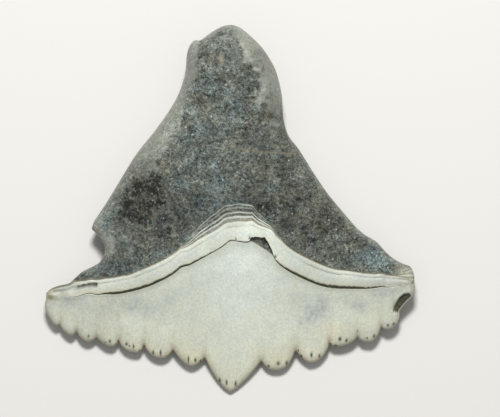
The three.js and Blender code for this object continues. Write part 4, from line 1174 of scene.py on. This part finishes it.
# The whole finish: root under enamel, hollows over both, each place with its own tone, which
# holds stains as well as painted highlight, shade and light. Enamel and skin are smoother and
# glossier than bare root and hollows.
def toothMaterial():
    material = bpy.data.materials.new("fossilEnamelAndRoot")
    material.use_nodes = True
    tree = material.node_tree
    shader = tree.nodes["Principled BSDF"]
    coordinates = addNode(tree, "ShaderNodeTexCoord").outputs["Object"]
    enamel, dark = mark(tree, "enamel"), mark(tree, "dark")
    bone, coarse, fine = rootColour(tree, coordinates)
    colour = mixColour(tree, enamel, bone, enamelColour(tree, coordinates))
    colour = mixColour(tree, dark, colour, hollowColour(tree, coordinates, enamel, coarse))
    colour = mixColour(tree, 1.0, colour, mark(tree, "tone"), "MULTIPLY")
    tree.links.new(colour, shader.inputs["Base Color"])

    smooth = calculate(tree, "MAXIMUM", enamel, mark(tree, "skin"))
    smooth = times(tree, smooth, remap(tree, dark, 0, 1, 1, 0))
    roughness = remap(tree, smooth, 0, 1, *toothFinish["roughness"])
    roughness = plus(tree, roughness, remap(tree, fine, 0.3, 0.7, -0.07, 0.07))
    tree.links.new(roughness, shader.inputs["Roughness"])
    gloss = remap(tree, smooth, 0, 1, *toothFinish["gloss"])
    tree.links.new(gloss, shader.inputs["Specular IOR Level"])
    shader.inputs["IOR"].default_value = toothFinish["refraction"]
    addBump(tree, shader, coordinates, smooth, coarse, fine)
    return material


# Floor, light and camera. Lengths are in metres where nothing else is said.
studioForm = {
    "floorColour": (0.72, 0.70, 0.66),
    "floorSize": 1.2,
    "floorRoughness": 0.85,
    "keyElevation": 64.0,       # degrees; it stands beyond the root
    "keyDistance": 0.16,
    "keySize": (0.04, 0.036),
    "keyPower": 0.26,
    "worldColour": (0.95, 0.97, 1.0),
    "worldStrength": 0.33,
    "cameraElevation": 78.0,
    "lens": 600.0,              # mm, as are the next three
    "sensorWidth": 36,
    "fieldWidth": 27.17,        # across the picture at the face
    "pictureMiddle": (1.11, -0.03),
    "clipping": (0.005, 5),
}


# A flat square sheet.
def makeFloor():
    half = studioForm["floorSize"] / 2
    mesh = bpy.data.meshes.new("floorSheet")
    mesh.from_pydata([(-half, -half, 0), (half, -half, 0), (half, half, 0), (-half, half, 0)],
                     [], [(0, 1, 2, 3)])
    floor = bpy.data.objects.new("floor", mesh)
    bpy.context.scene.collection.objects.link(floor)
    material = bpy.data.materials.new("paleFloor")
    material.use_nodes = True
    shader = material.node_tree.nodes["Principled BSDF"]
    shader.inputs["Base Color"].default_value = (*studioForm["floorColour"], 1)
    shader.inputs["Roughness"].default_value = studioForm["floorRoughness"]
    mesh.materials.append(material)


# One soft lamp beyond the root, and an even pale room.
def makeLight():
    rise = math.radians(studioForm["keyElevation"])
    distance = studioForm["keyDistance"]
    data = bpy.data.lights.new("keyLight", "AREA")
    data.shape = "RECTANGLE"
    data.size, data.size_y = studioForm["keySize"]
    data.energy = studioForm["keyPower"]
    key = bpy.data.objects.new("keyLight", data)
    key.location = (0, distance * math.cos(rise), distance * math.sin(rise))
    key.rotation_euler = (rise - math.pi / 2, 0, 0)
    bpy.context.scene.collection.objects.link(key)
    world = bpy.data.worlds.new("paleRoom")
    world.use_nodes = True
    background = world.node_tree.nodes["Background"]
    background.inputs["Color"].default_value = (*studioForm["worldColour"], 1)
    background.inputs["Strength"].default_value = studioForm["worldStrength"]
    bpy.context.scene.world = world
    bpy.context.scene.view_settings.view_transform = "Standard"


# The camera looks along the face's normal, at the point of the face in the picture's middle.
def makeCamera(shift):
    data = bpy.data.cameras.new("camera")
    data.lens, data.sensor_width = studioForm["lens"], studioForm["sensorWidth"]
    data.clip_start, data.clip_end = studioForm["clipping"]
    camera = bpy.data.objects.new("camera", data)
    x, v = studioForm["pictureMiddle"]
    target = laidDown(np.array(x), np.array(v), np.array(0.0)) * millimetre + shift
    rise = math.radians(studioForm["cameraElevation"])
    distance = studioForm["fieldWidth"] * millimetre * data.lens / data.sensor_width
    camera.location = target + distance * np.array([0, -math.cos(rise), math.sin(rise)])
    camera.rotation_euler = (math.pi / 2 - rise, 0, 0)
    bpy.context.scene.collection.objects.link(camera)
    bpy.context.scene.camera = camera


tooth, shift = makeTooth()
print("tooth made:", len(tooth.data.vertices), "vertices")
tooth.data.materials.append(toothMaterial())
print("finish made")
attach(tooth, "root")
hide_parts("tooth")
makeFloor()
makeLight()
makeCamera(shift)
print("stage made")
